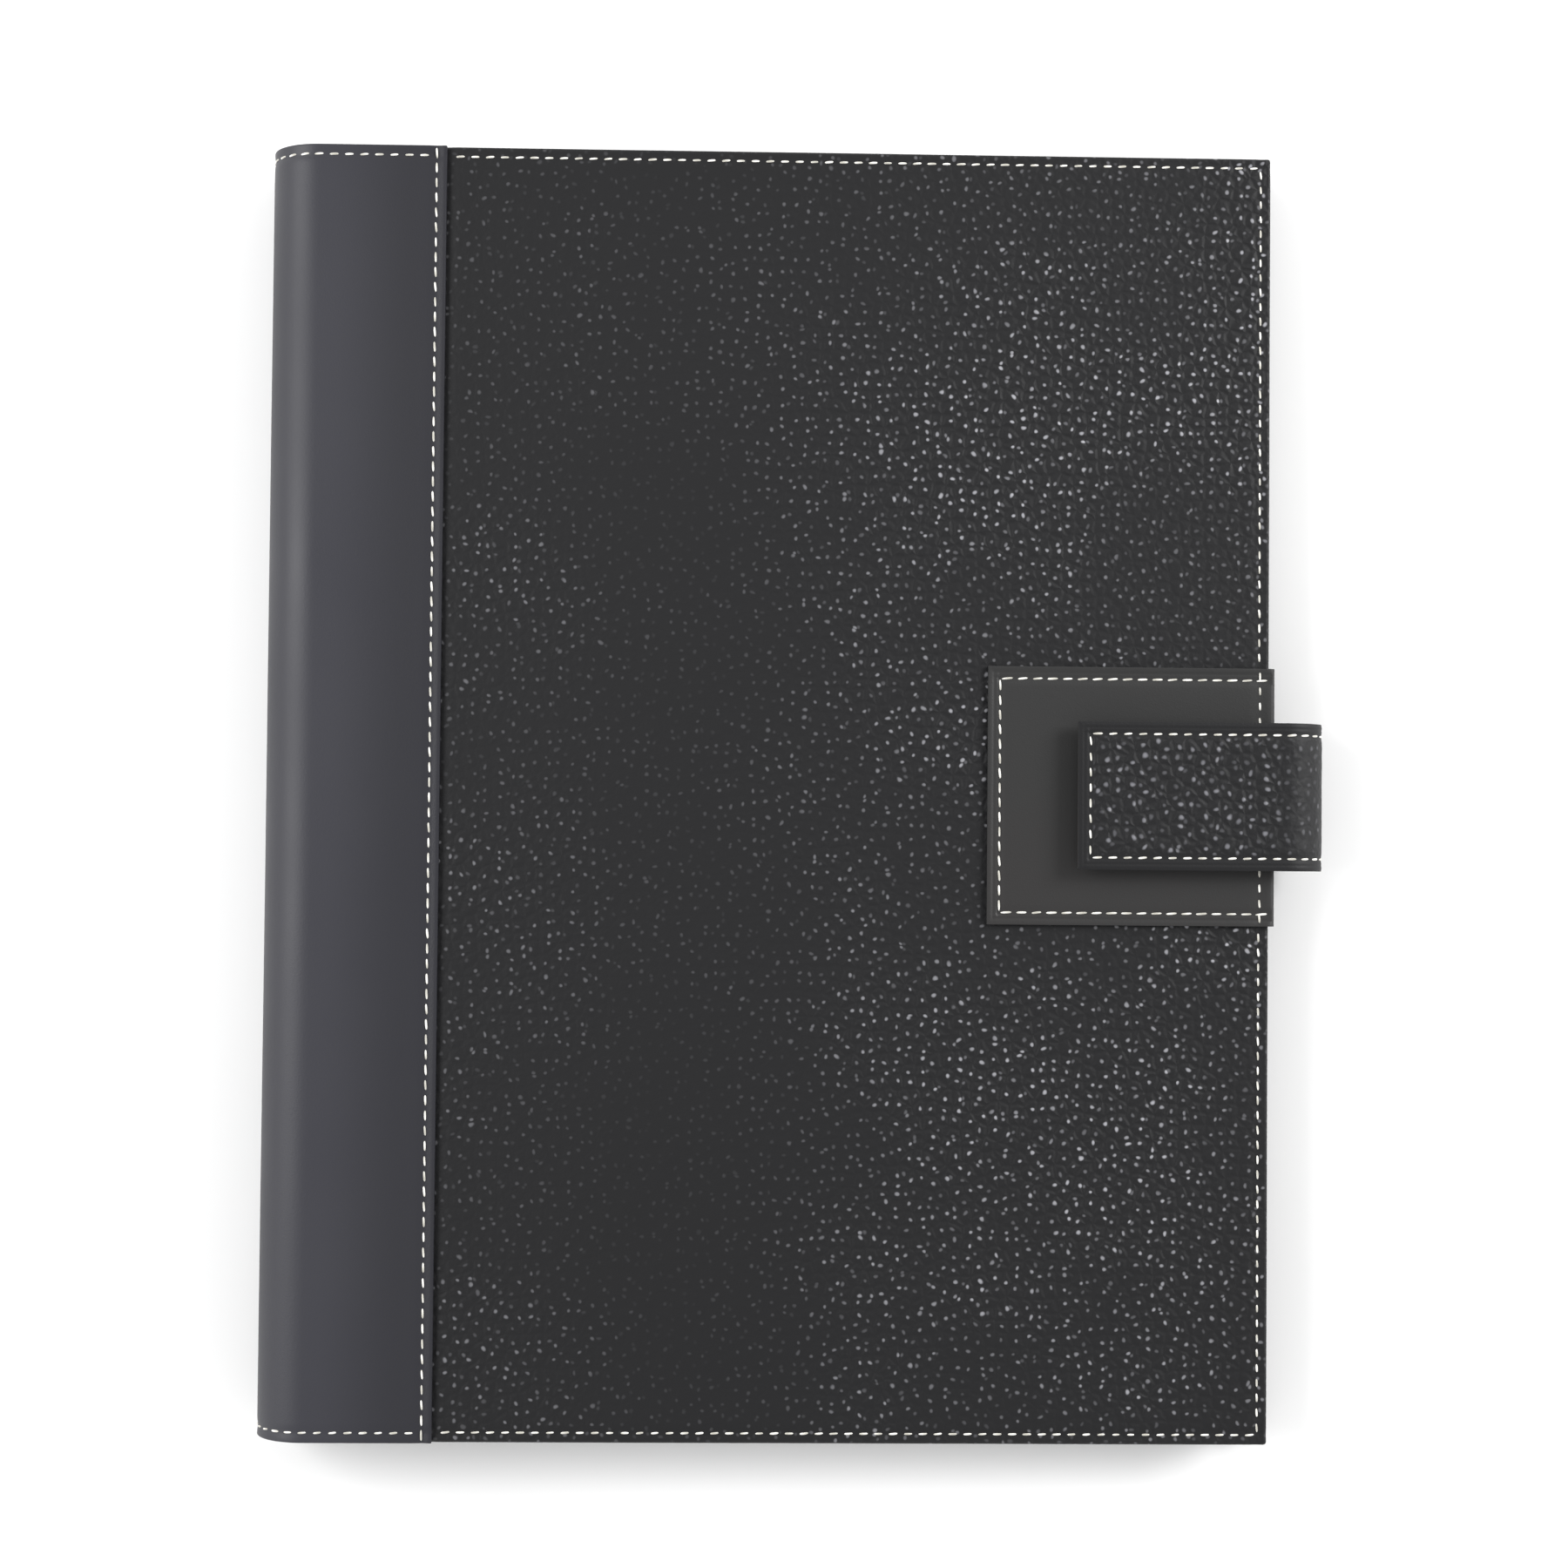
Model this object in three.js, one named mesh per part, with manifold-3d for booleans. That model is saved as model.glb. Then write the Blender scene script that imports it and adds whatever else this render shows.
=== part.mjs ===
// Leather notebook cover, closed: two boarded covers joined by a rolled spine, a strap that comes
// out of the back cover's fore edge and closes over the front on a magnetic snap, inner pockets,
// a pen loop and a refill pad. Millimetres, +Z up. The back cover lies on its outer face, the
// spine is on the -X side and the origin is under the middle of the whole.
import * as THREE from 'three'
import { mergeVertices } from 'three/addons/utils/BufferGeometryUtils.js'
import Module from 'manifold-3d'

// Overall
const coverHeight = 320         // along the spine
const coverReach = 237          // spine roll's centre line to the fore edge
const spineRadius = 13          // outside of the rolled spine
const spineStrips = 2           // curved strips that stand for the flexible spine
// Layers, from the outside in
const smoothLeather = 0.9
const grainLeather = 1.0
const boardThick = 2.0
const liningThick = 0.8
const pocketThick = 0.8
const cardLeather = 0.7
const layerGap = 0.2            // between glued layers
const skived = 0.3              // taken off the grain leather's margin under the seam
// Spine leather's lap over the covers, and the turned edges
const lapReach = 31.4
const lapOverlap = 9.4
const hemWidth = 4.5
const boardGap = 0.5            // board to turned edge
const hingeGap = 0.3            // between pieces that bend apart
const liningMargin = 1          // lining inside the cover's edge
const cutPast = 1               // how far a cutting tool runs past what it cuts
// Stitching
const stitchInset = 2.5
const threadWidth = 0.6
const threadHigh = 0.35
const threadSunk = 0.05         // top of the thread below the leather
const grooveSlack = 0.15
// Patch, strap and snap on the fore edge
const patchWidth = 70.5
const patchHeight = 64
const patchLeather = 1.0
const patchInset = 3.0
const strapWidth = 36.5
const strapLeather = 0.9
const strapOut = 3.6            // straight run before the strap turns
const strapTip = 48.3             // fore edge to the strap's end, on the front
const strapStrips = 2
const tongueDeep = 28           // sewn into the back cover
const snapFromEdge = 28.5
const socketRadius = 8
const socketHigh = 2.0
const socketWall = 0.5
const studRadius = 6.5
const studHigh = 0.6
const nippleRadius = 2.4
const nippleHigh = 1.4
const magnetHole = 3.2
const shankRadius = 2.0
const plateRadius = 5
const plateThick = 0.4
// Inside
const padThick = 4
const padCard = 0.8
const padForeMargin = 6         // pad to the fore edge
const padSpineMargin = 21       // pad to the roll's centre line
const padEndMargin = 11.5       // pad to the cover's ends
const padClear = 0.4            // pad to the closed front pocket
const tapeThick = 0.3
const tapeWide = 12
const sleeveOpen = 140          // top of the cover to the sleeve's open edge
const sleeveRim = 3
const sheetMargin = 4           // pocket edges inside the cover's edge
const pocketOpen = 65           // top of the cover to the document pocket's open edge
const pocketStart = 14
const thumbRadius = 12
const cardPockets = 3
const cardWidth = 96
const cardHigh = 54
const cardStep = 14
const cardStart = 30
const cardBottom = 16           // above the pocket's lower edge
const penLoopWide = 14
const penLoopClear = 3.4        // loop to the front cover's lining, by the spine
const penLoopLong = 25
const penLoopWall = 1
const penLoopDown = 115         // top of the cover to the middle of the loop

// Levels: distance from the roll's centre line, outwards, the same on both covers
const lapTop = spineRadius
const lapBase = lapTop - smoothLeather
const grainTop = lapBase - layerGap
const grainBase = grainTop - grainLeather
const boardTop = grainBase - layerGap
const boardBase = boardTop - boardThick
const liningTop = boardBase - layerGap
const liningBase = liningTop - liningThick
const spineLiningTop = lapBase - layerGap
const pocketBase = liningBase - layerGap - pocketThick
const patchBase = grainTop + layerGap
const patchTop = patchBase + patchLeather
const socketBase = patchTop + layerGap
const socketTop = socketBase + socketHigh
const studBase = socketTop + layerGap
const studTop = studBase + studHigh
const strapThick = 2 * strapLeather + layerGap
const strapBase = studTop + layerGap
const strapTop = strapBase + strapThick

// The pad's height over the table sets how far the front cover slopes down to the fore edge
const rollHeight = spineRadius
const cardBase = rollHeight - liningBase + layerGap
const sleeveBase = cardBase + padCard + layerGap
const paperBase = sleeveBase + pocketThick + layerGap
const paperTop = paperBase + padThick
const padFore = coverReach - padForeMargin
const overPad = paperTop + padClear - rollHeight
const cardInner = pocketBase - cardPockets * (cardLeather + layerGap)
const cardEnd = cardStart + cardWidth
const edgeSlope = Math.asin(pocketBase / Math.hypot(padFore, overPad)) - Math.atan2(overPad, padFore)
const cardSlope = Math.acos(overPad / Math.hypot(cardInner, cardEnd)) - Math.atan2(cardEnd, cardInner)
const slope = Math.min(edgeSlope, cardSlope)

const penLoopHigh = 2 * liningBase - penLoopClear

// Spine strips share the turn from the back cover's face round to the front cover's
const spineStep = (Math.PI + slope) / (spineStrips + 1)
const spineTurn = spineStep / 2 - hingeGap / 2 / lapTop
const coverStart = boardGap
// Strap: its loop touches the board's outer face below and the flap's outer face above
const strapX = coverReach + strapOut
const loopRise = strapTop + boardTop * Math.cos(slope) - strapX * Math.sin(slope)
const loopRadius = loopRise / (1 + Math.cos(slope))
const loopHeight = rollHeight - boardTop + loopRadius
const strapStep = (Math.PI - slope) / (strapStrips + 1)
const strapTurn = strapStep / 2 - hingeGap / 2 / loopRadius
const flapCentre = [
  strapX * Math.cos(slope) - (loopHeight - rollHeight) * Math.sin(slope),
  strapX * Math.sin(slope) + (loopHeight - rollHeight) * Math.cos(slope),
]
const snapX = coverReach - snapFromEdge
const halfHeight = coverHeight / 2
const padEnd = halfHeight - padEndMargin
const tongueLeather = (boardThick - layerGap) / 2
const seamX = lapReach - stitchInset
const edgeX = coverReach - stitchInset
const edgeY = halfHeight - stitchInset
const patchStart = coverReach + hingeGap - patchWidth
const patchHalf = patchHeight / 2
const strapHalfWidth = strapWidth / 2

const finish = (color, roughness, metalness = 0) =>
  new THREE.MeshStandardMaterial({ color, roughness, metalness })
const finishes = {
  smooth: finish('#36363b', 0.55),
  grain: finish('#232327', 0.45),
  lining: finish('#1d1d20', 0.9),
  board: finish('#8d8678', 0.95),
  thread: finish('#d9d7d0', 0.8),
  steel: finish('#b9bbbd', 0.3, 1),
  magnet: finish('#3a3a3c', 0.6, 0.4),
  paper: finish('#ece9df', 0.95),
  card: finish('#a58f6c', 0.9),
  tape: finish('#2a3440', 0.7),
  elastic: finish('#18181a', 0.95),
}

const wasm = await Module()
wasm.setup()

// A closed geometry as a solid that can be cut and joined
function solidOf(geometry) {
  const bare = geometry.index ? geometry.toNonIndexed() : geometry.clone()
  bare.deleteAttribute('normal')
  bare.deleteAttribute('uv')
  const merged = mergeVertices(bare, 1e-4)
  return new wasm.Manifold(new wasm.Mesh({
    numProp: 3,
    vertProperties: merged.attributes.position.array,
    triVerts: new Uint32Array(merged.index.array),
  }))
}

function geometryOf(solid) {
  const mesh = solid.getMesh()
  return new THREE.BufferGeometry()
    .setAttribute('position', new THREE.BufferAttribute(mesh.vertProperties, 3))
    .setIndex(new THREE.BufferAttribute(mesh.triVerts, 1))
}

const cut = (from, ...tools) => tools.reduce((rest, tool) => rest.subtract(tool), from)
const join = (first, other) => first.add(other)

// A box between exact limits, so that boxes which share a face meet without slivers
function block(...spans) {
  const box = new THREE.BoxGeometry(1, 1, 1)
  const corner = box.attributes.position
  for (let i = 0; i < corner.count; i += 1) {
    spans.forEach(([low, high], axis) => {
      corner.setComponent(i, axis, corner.getComponent(i, axis) < 0 ? low : high)
    })
  }
  return solidOf(box)
}

const even = (half) => [-half, half]

// Stands a section drawn in x and level along the spine, from -half to half
function alongSpine(outline, half) {
  const bar = new THREE.ExtrudeGeometry(outline, {
    depth: 2 * half,
    bevelEnabled: false,
    curveSegments: 8,
  })
  return solidOf(bar.rotateX(Math.PI / 2).translate(0, half, 0))
}

// A sheet that runs flat from an x to over a centre, then turns round it; low and high are radii
function turnedSheet(from, [x, level], low, high, angle, half) {
  const way = Math.sign(x - from)
  const end = Math.PI / 2 - way * angle
  const outline = new THREE.Shape()
    .moveTo(from, level + low)
    .lineTo(from, level + high)
    .absarc(x, level, high, Math.PI / 2, end, way > 0)
    .absarc(x, level, low, end, Math.PI / 2, way < 0)
    .closePath()
  return alongSpine(outline, half)
}

// A round disc, ring or pin standing on a level; points are [radius, level] pairs, going round
function turned(profile, x, sides = 32) {
  const points = profile.map(([r, z]) => new THREE.Vector2(r, z))
  const lathe = new THREE.LatheGeometry([...points, points[0]], sides)
  return solidOf(lathe.rotateX(Math.PI / 2).translate(x, 0, 0))
}

const disc = (radius, low, high, x) => turned([[0, low], [radius, low], [radius, high], [0, high]], x)

// A flat section swept along straight legs that turn square, mitred; points are [x, y, level]
function run(points, half, low, high) {
  const path = points.map((point) => new THREE.Vector3(...point))
  const up = new THREE.Vector3(0, 0, 1)
  let side = null
  const legs = path.slice(1).map((to, i) => {
    const along = to.clone().sub(path[i]).normalize()
    side = Math.abs(along.z) < 0.5 ? along.clone().cross(up) : side
    return { side, over: side.clone().cross(along) }
  })
  const mitre = (a, b) => (a.distanceTo(b) < 0.5 ? a : a.clone().add(b))
  const corners = [[-half, low], [half, low], [half, high], [-half, high]]
  const rings = path.map((at, i) => {
    const before = legs[Math.max(i - 1, 0)]
    const after = legs[Math.min(i, legs.length - 1)]
    const across = mitre(before.side, after.side)
    const over = mitre(before.over, after.over)
    return corners.map(([u, v]) => at.clone().addScaledVector(across, u).addScaledVector(over, v))
  })
  const faces = rings.slice(1).flatMap((ring, i) => corners.flatMap((corner, k) => {
    const next = (k + 1) % 4
    const [a, b] = [4 * i + k, 4 * i + next]
    return [a, a + 4, b + 4, a, b + 4, b]
  }))
  const last = 4 * (rings.length - 1)
  faces.push(0, 1, 2, 0, 2, 3, last, last + 2, last + 1, last, last + 3, last + 2)
  return solidOf(new THREE.BufferGeometry().setFromPoints(rings.flat()).setIndex(faces))
}

const thread = (points) => run(points, threadWidth / 2, -threadSunk - threadHigh, -threadSunk)
const groove = (points) =>
  run(points, threadWidth / 2 + grooveSlack, -threadSunk - threadHigh - grooveSlack / 2, cutPast)

function mesh(name, solid, material) {
  const piece = new THREE.Mesh(geometryOf(solid), material)
  piece.name = name
  return piece
}

// Stitch line round a cover's three free edges, from the seam and back to it
const edgeLine = [
  [lapReach + threadWidth, edgeY, grainTop],
  [edgeX, edgeY, grainTop],
  [edgeX, -edgeY, grainTop],
  [lapReach + threadWidth, -edgeY, grainTop],
]
const seamLine = [[seamX, halfHeight, lapTop], [seamX, -halfHeight, lapTop]]

// Grain leather with its edges turned over the board, skived where the spine leather laps it
function grainPanel() {
  const start = lapReach - lapOverlap
  const skin = block([start, coverReach], even(halfHeight), [boardBase, grainTop])
  const inside = block([start - cutPast, coverReach - hemWidth], even(halfHeight - hemWidth),
    [boardBase - cutPast, grainBase])
  const margin = block([start - cutPast, lapReach + layerGap], even(halfHeight + cutPast),
    [grainTop - skived, grainTop + cutPast])
  return cut(skin, inside, margin, groove(edgeLine))
}

// Smooth spine leather on one cover, its ends turned in above and below the board
function spineLap() {
  const sheet = turnedSheet(lapReach, [0, 0], lapBase, lapTop, spineTurn, halfHeight)
  const turnIn = [coverStart, lapReach - lapOverlap - layerGap]
  const ends = [-halfHeight, halfHeight - hemWidth].map((y) =>
    block(turnIn, [y, y + hemWidth], [boardBase, lapBase]))
  return cut(join(join(sheet, ends[0]), ends[1]), groove(seamLine))
}

const filler = () => block([coverStart, lapReach - lapOverlap - layerGap],
  even(halfHeight - hemWidth - layerGap), [grainBase, grainTop])

const board = () => block([coverStart + boardGap, coverReach - hemWidth - boardGap],
  even(halfHeight - hemWidth - boardGap), [boardBase, boardTop])

const lining = () =>
  block([coverStart, coverReach - liningMargin], even(halfHeight - liningMargin), [liningBase, liningTop])

// Start of the spine's lining, which stays with each cover up to the first fold
const spineLining = () => turnedSheet(coverStart - hingeGap, [0, 0], spineLiningTop - liningThick,
  spineLiningTop, spineTurn, halfHeight - liningMargin)

function coverPieces(side) {
  return {
    panel: ['_panel', grainPanel(), finishes.grain],
    lap: ['_spine_lap', spineLap(), finishes.smooth],
    filler: ['_spine_filler', filler(), finishes.board],
    board: ['_board', board(), finishes.board],
    lining: ['_lining', lining(), finishes.lining],
    seam: ['_seam_thread', thread(seamLine), finishes.thread],
    name: side,
  }
}

// Front cover: x runs from the roll to the fore edge and z points out of the cover's face
function frontCover() {
  const group = new THREE.Group()
  group.position.z = rollHeight
  group.rotation.y = slope
  const parts = coverPieces('front')
  const shankHole = disc(shankRadius + layerGap, boardTop - cutPast, patchTop + cutPast, snapX)
  const plateHigh = boardTop - layerGap / 2
  const plateLow = plateHigh - plateThick
  parts.panel[1] = cut(parts.panel[1], shankHole)
  const recess = disc(plateRadius + boardGap, plateLow - layerGap, boardTop + cutPast, snapX)
  parts.board[1] = cut(parts.board[1], recess)
  for (const key of ['panel', 'lap', 'filler', 'board', 'lining', 'seam']) {
    const [ending, solid, material] = parts[key]
    group.add(mesh(parts.name + ending, solid, material))
  }
  const overPatch = patchHalf + threadWidth + layerGap
  const frontLine = [
    edgeLine[0],
    edgeLine[1],
    [edgeX, overPatch, grainTop],
    [edgeX, overPatch, patchTop],
    [edgeX, -overPatch, patchTop],
    [edgeX, -overPatch, grainTop],
    edgeLine[2],
    edgeLine[3],
  ]
  group.add(mesh('front_edge_thread', thread(frontLine), finishes.thread))
  group.add(mesh('front_spine_lining', spineLining(), finishes.lining))
  group.add(...patchPieces(shankHole, plateLow, plateHigh))
  group.add(...pocketPieces())
  return group
}

// Smooth patch round the fore edge, its stitching, and the snap's socket with its magnet
function patchPieces(shankHole, plateLow, plateHigh) {
  const wall = [coverReach + hingeGap, coverReach + hingeGap + patchLeather]
  const sheet = block([patchStart, wall[1]], even(patchHalf), [patchBase, patchTop])
  const turn = block(wall, even(patchHalf), [boardBase, patchBase])
  const inset = patchHalf - patchInset
  const stop = edgeX - threadWidth - layerGap
  const line = [
    [stop, inset, patchTop],
    [patchStart + patchInset, inset, patchTop],
    [patchStart + patchInset, -inset, patchTop],
    [stop, -inset, patchTop],
  ]
  const across = [[edgeX, patchHalf, patchTop], [edgeX, -patchHalf, patchTop]]
  const patch = cut(join(sheet, turn), groove(line), groove(across), shankHole)
  const cup = turned([
    [0, boardTop],
    [shankRadius, boardTop],
    [shankRadius, socketBase],
    [socketRadius, socketBase],
    [socketRadius, socketTop],
    [socketRadius - socketWall, socketTop],
    [socketRadius - socketWall, socketBase + socketWall],
    [0, socketBase + socketWall],
  ], snapX)
  const magnetRim = socketRadius - socketWall - layerGap
  const magnetBase = socketBase + socketWall + layerGap
  const magnet = turned([
    [magnetHole, magnetBase],
    [magnetRim, magnetBase],
    [magnetRim, socketTop],
    [magnetHole, socketTop],
  ], snapX)
  return [
    mesh('snap_patch', patch, finishes.smooth),
    mesh('patch_thread', thread(line), finishes.thread),
    mesh('snap_socket', cup, finishes.steel),
    mesh('snap_magnet', magnet, finishes.magnet),
    mesh('snap_socket_plate', disc(plateRadius, plateLow, plateHigh, snapX), finishes.steel),
  ]
}

// Document pocket with a thumb cut, and three stepped card pockets on it
function pocketPieces() {
  const bottom = -(halfHeight - sheetMargin)
  const right = coverReach - sheetMargin
  const middle = (pocketStart + right) / 2
  const pocketTop = halfHeight - pocketOpen
  const outline = new THREE.Shape()
    .moveTo(pocketStart, bottom)
    .lineTo(right, bottom)
    .lineTo(right, pocketTop)
    .lineTo(middle + thumbRadius, pocketTop)
    .absarc(middle, pocketTop, thumbRadius, 0, Math.PI, true)
    .lineTo(pocketStart, pocketTop)
    .closePath()
  const sheet = new THREE.ExtrudeGeometry(outline, {
    depth: pocketThick,
    bevelEnabled: false,
    curveSegments: 16,
  })
  const cards = Array.from({ length: cardPockets }, (unused, i) => {
    const top = pocketBase - layerGap - i * (cardLeather + layerGap)
    const high = bottom + cardBottom + cardHigh + (cardPockets - 1 - i) * cardStep
    const sheet = block([cardStart, cardEnd], [bottom + cardBottom, high], [top - cardLeather, top])
    return mesh('card_pocket_' + (i + 1), sheet, finishes.smooth)
  })
  const pocket = solidOf(sheet.translate(0, 0, pocketBase))
  return [mesh('document_pocket', pocket, finishes.lining), ...cards]
}

// Back cover: the same layers the other way up, with the strap's tongue let into the board
function backCover() {
  const group = new THREE.Group()
  group.position.z = rollHeight
  group.rotation.x = Math.PI
  const parts = coverPieces('back')
  const slack = layerGap + hingeGap
  const letIn = block([coverReach - tongueDeep - slack, coverReach + cutPast],
    even(strapHalfWidth + slack), [boardBase - cutPast, boardTop + layerGap])
  parts.panel[1] = cut(parts.panel[1], letIn)
  parts.board[1] = cut(parts.board[1], letIn)
  for (const key of ['panel', 'lap', 'filler', 'board', 'lining', 'seam']) {
    const [ending, solid, material] = parts[key]
    group.add(mesh(parts.name + ending, solid, material))
  }
  group.add(mesh('back_edge_thread', thread(edgeLine), finishes.thread))
  group.add(mesh('back_spine_lining', spineLining(), finishes.lining))
  const level = rollHeight - loopHeight
  const tongue = (low) => turnedSheet(coverReach - tongueDeep, [strapX, level], low - level,
    low - level + tongueLeather, strapTurn, strapHalfWidth)
  const face = tongue(boardTop - tongueLeather)
  const inner = tongue(boardBase)
  group.add(mesh('strap_tongue_face', face, finishes.grain))
  group.add(mesh('strap_tongue_lining', inner, finishes.smooth))
  return group
}

// Sleeve for the pad's card and the pen loop, on the back cover's lining
function backInside() {
  const group = new THREE.Group()
  const slack = hingeGap
  const left = padSpineMargin - slack
  const right = padFore + slack
  const bottom = -padEnd - slack
  const sleeveTop = halfHeight - sleeveOpen
  const body = block([left - sleeveRim, right + sleeveRim], [bottom - sleeveRim, sleeveTop],
    [cardBase, sleeveBase + pocketThick])
  const inside = block([left, right], [bottom, sleeveTop + cutPast], [cardBase - cutPast, sleeveBase])
  group.add(mesh('pad_sleeve', cut(body, inside), finishes.lining))
  const loop = new THREE.Shape()
  const wide = penLoopWide / 2
  const high = penLoopHigh / 2
  loop.absellipse(0, 0, wide, high, 0, 2 * Math.PI, false)
  const hole = new THREE.Path()
  hole.absellipse(0, 0, wide - penLoopWall, high - penLoopWall, 0, 2 * Math.PI, true)
  loop.holes.push(hole)
  const tube = new THREE.ExtrudeGeometry(loop, {
    depth: penLoopLong,
    bevelEnabled: false,
    curveSegments: 14,
  })
  const middle = (coverStart + left - sleeveRim) / 2
  const loopTop = halfHeight - penLoopDown + penLoopLong / 2
  tube.rotateX(Math.PI / 2).translate(middle, loopTop, cardBase + high)
  group.add(mesh('pen_loop', solidOf(tube), finishes.elastic))
  return group
}

// Refill pad: a card back that tucks into the sleeve, the sheets, and the tape round their top
function refillPad() {
  const group = new THREE.Group()
  const across = [padSpineMargin, padFore]
  const card = block(across, even(padEnd), [cardBase, cardBase + padCard])
  const past = [across[0] - cutPast, padFore + cutPast]
  const underTape = block(past, [padEnd - tapeWide - layerGap, padEnd + cutPast],
    [paperTop - tapeThick - layerGap, paperTop + cutPast])
  const sheets = cut(block(across, even(padEnd), [paperBase, paperTop]), underTape)
  const end = padEnd + layerGap
  const tape = cut(
    block(across, [padEnd - tapeWide, end + tapeThick], [cardBase, paperTop]),
    block(past, [padEnd - tapeWide - cutPast, end], [cardBase - cutPast, paperTop - tapeThick]),
  )
  group.add(mesh('pad_card', card, finishes.card))
  group.add(mesh('pad_paper', sheets, finishes.paper))
  group.add(mesh('pad_tape', tape, finishes.tape))
  return group
}

// A curved strip between two folds: each layer is [name, inner radius, outer radius, half length]
function bend(x, z, angle, turn, layers) {
  const group = new THREE.Group()
  group.position.set(x, 0, z)
  group.rotation.y = angle
  const [start, end] = [Math.PI / 2 - turn, Math.PI / 2 + turn]
  for (const [name, low, high, half, material] of layers) {
    const outline = new THREE.Shape()
      .absarc(0, 0, high, start, end, false)
      .absarc(0, 0, low, end, start, true)
      .closePath()
    group.add(mesh(name, alongSpine(outline, half), material))
  }
  return group
}

const cover = new THREE.Group()
cover.add(backCover(), frontCover(), backInside(), refillPad())

for (let n = 1; n <= spineStrips; n += 1) {
  const liningLow = spineLiningTop - liningThick
  cover.add(bend(0, rollHeight, n * spineStep - Math.PI, spineTurn, [
    ['spine_leather_' + n, lapBase, lapTop, halfHeight, finishes.smooth],
    ['spine_lining_' + n, liningLow, spineLiningTop, halfHeight - liningMargin, finishes.lining],
  ]))
}

for (let n = 1; n <= strapStrips; n += 1) {
  const inner = loopRadius - strapThick
  cover.add(bend(strapX, loopHeight, Math.PI - n * strapStep, strapTurn, [
    ['strap_face_' + n, loopRadius - strapLeather, loopRadius, strapHalfWidth, finishes.grain],
    ['strap_lining_' + n, inner, inner + strapLeather, strapHalfWidth, finishes.smooth],
  ]))
}

// Flap of the strap over the front cover, with the snap's stud, in the front cover's own frame
function strapFlap() {
  const group = new THREE.Group()
  group.position.z = rollHeight
  group.rotation.y = slope
  const tip = coverReach - strapTip
  const faceBase = strapTop - strapLeather
  const plateLow = faceBase - layerGap / 2
  const inset = strapHalfWidth - patchInset
  const line = [
    [flapCentre[0], inset, strapTop],
    [tip + patchInset, inset, strapTop],
    [tip + patchInset, -inset, strapTop],
    [flapCentre[0], -inset, strapTop],
  ]
  const flap = (low) => turnedSheet(tip, flapCentre, low, low + strapLeather, strapTurn, strapHalfWidth)
  const face = flap(loopRadius - strapLeather)
  const recess = disc(plateRadius + layerGap, faceBase - cutPast,
    plateLow + plateThick + layerGap / 2, snapX)
  const inner = flap(loopRadius - strapThick)
  const pin = shankRadius - layerGap
  const pinHole = disc(shankRadius, strapBase - cutPast, strapTop, snapX)
  const stud = turned([
    [0, studBase - nippleHigh],
    [nippleRadius, studBase - nippleHigh],
    [nippleRadius, studBase],
    [studRadius, studBase],
    [studRadius, studTop],
    [pin, studTop],
    [pin, strapBase + strapLeather],
    [0, strapBase + strapLeather],
  ], snapX)
  group.add(mesh('strap_flap_face', cut(face, groove(line), recess), finishes.grain))
  group.add(mesh('strap_flap_lining', cut(inner, pinHole), finishes.smooth))
  group.add(mesh('strap_thread', thread(line), finishes.thread))
  group.add(mesh('snap_stud', stud, finishes.steel))
  group.add(mesh('snap_stud_plate', disc(plateRadius, plateLow, plateLow + plateThick, snapX),
    finishes.steel))
  return group
}
cover.add(strapFlap())

// The origin goes under the middle of the whole
const size = new THREE.Box3().setFromObject(cover, true)
cover.position.set(-(size.min.x + size.max.x) / 2, 0, -size.min.z)

const group = new THREE.Group()
group.add(cover)
export default group
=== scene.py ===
# Leather notebook cover with a rolled spine, a strap with a magnetic snap, and a refill pad inside.
import random

import bmesh
import bpy
from math import cos, exp, pi, radians, sin
from mathutils import Matrix, Vector, noise


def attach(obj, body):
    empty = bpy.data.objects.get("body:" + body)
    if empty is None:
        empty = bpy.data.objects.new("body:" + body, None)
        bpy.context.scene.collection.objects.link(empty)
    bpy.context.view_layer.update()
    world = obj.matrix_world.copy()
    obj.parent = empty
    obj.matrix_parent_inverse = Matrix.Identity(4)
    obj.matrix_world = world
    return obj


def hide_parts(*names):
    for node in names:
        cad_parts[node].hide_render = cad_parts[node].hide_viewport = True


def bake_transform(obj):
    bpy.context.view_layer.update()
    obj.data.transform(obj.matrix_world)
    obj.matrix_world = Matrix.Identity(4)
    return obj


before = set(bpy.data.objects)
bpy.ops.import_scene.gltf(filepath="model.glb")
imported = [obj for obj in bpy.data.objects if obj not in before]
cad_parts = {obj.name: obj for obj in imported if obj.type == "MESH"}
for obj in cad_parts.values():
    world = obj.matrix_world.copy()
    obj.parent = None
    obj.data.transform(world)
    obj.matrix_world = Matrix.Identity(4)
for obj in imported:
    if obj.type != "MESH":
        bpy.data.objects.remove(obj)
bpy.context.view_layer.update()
mm = 0.001
print("frame loaded")

# Where the covers lie, in millimetres: the same layout as the part's source
cover = {
    "rollX": -119.019,      # middle of the rolled spine
    "rollZ": 13.0,
    "slope": radians(1.93487),  # front cover falls to the fore edge
    "halfHeight": 160.0,
    "reach": 237.0,         # roll's middle to the fore edge
    "lapReach": 31.4,
    "panelStart": 22.0,
    "stitchInset": 2.5,
    "hem": 4.5,
}
# Outer faces, measured square to a cover from the middle of the roll
levels = {
    "lap": 13.0, "grain": 11.9, "boardLow": 8.7, "lining": 8.5, "pocket": 7.5, "cards": 6.5,
    "patch": 13.1, "strap": 18.3,
}
# How deep stitches sit in a flat panel, and in leather that bends or is double
sunk, bentSunk = 0.14, 0.16
slope = cover["slope"]


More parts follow.
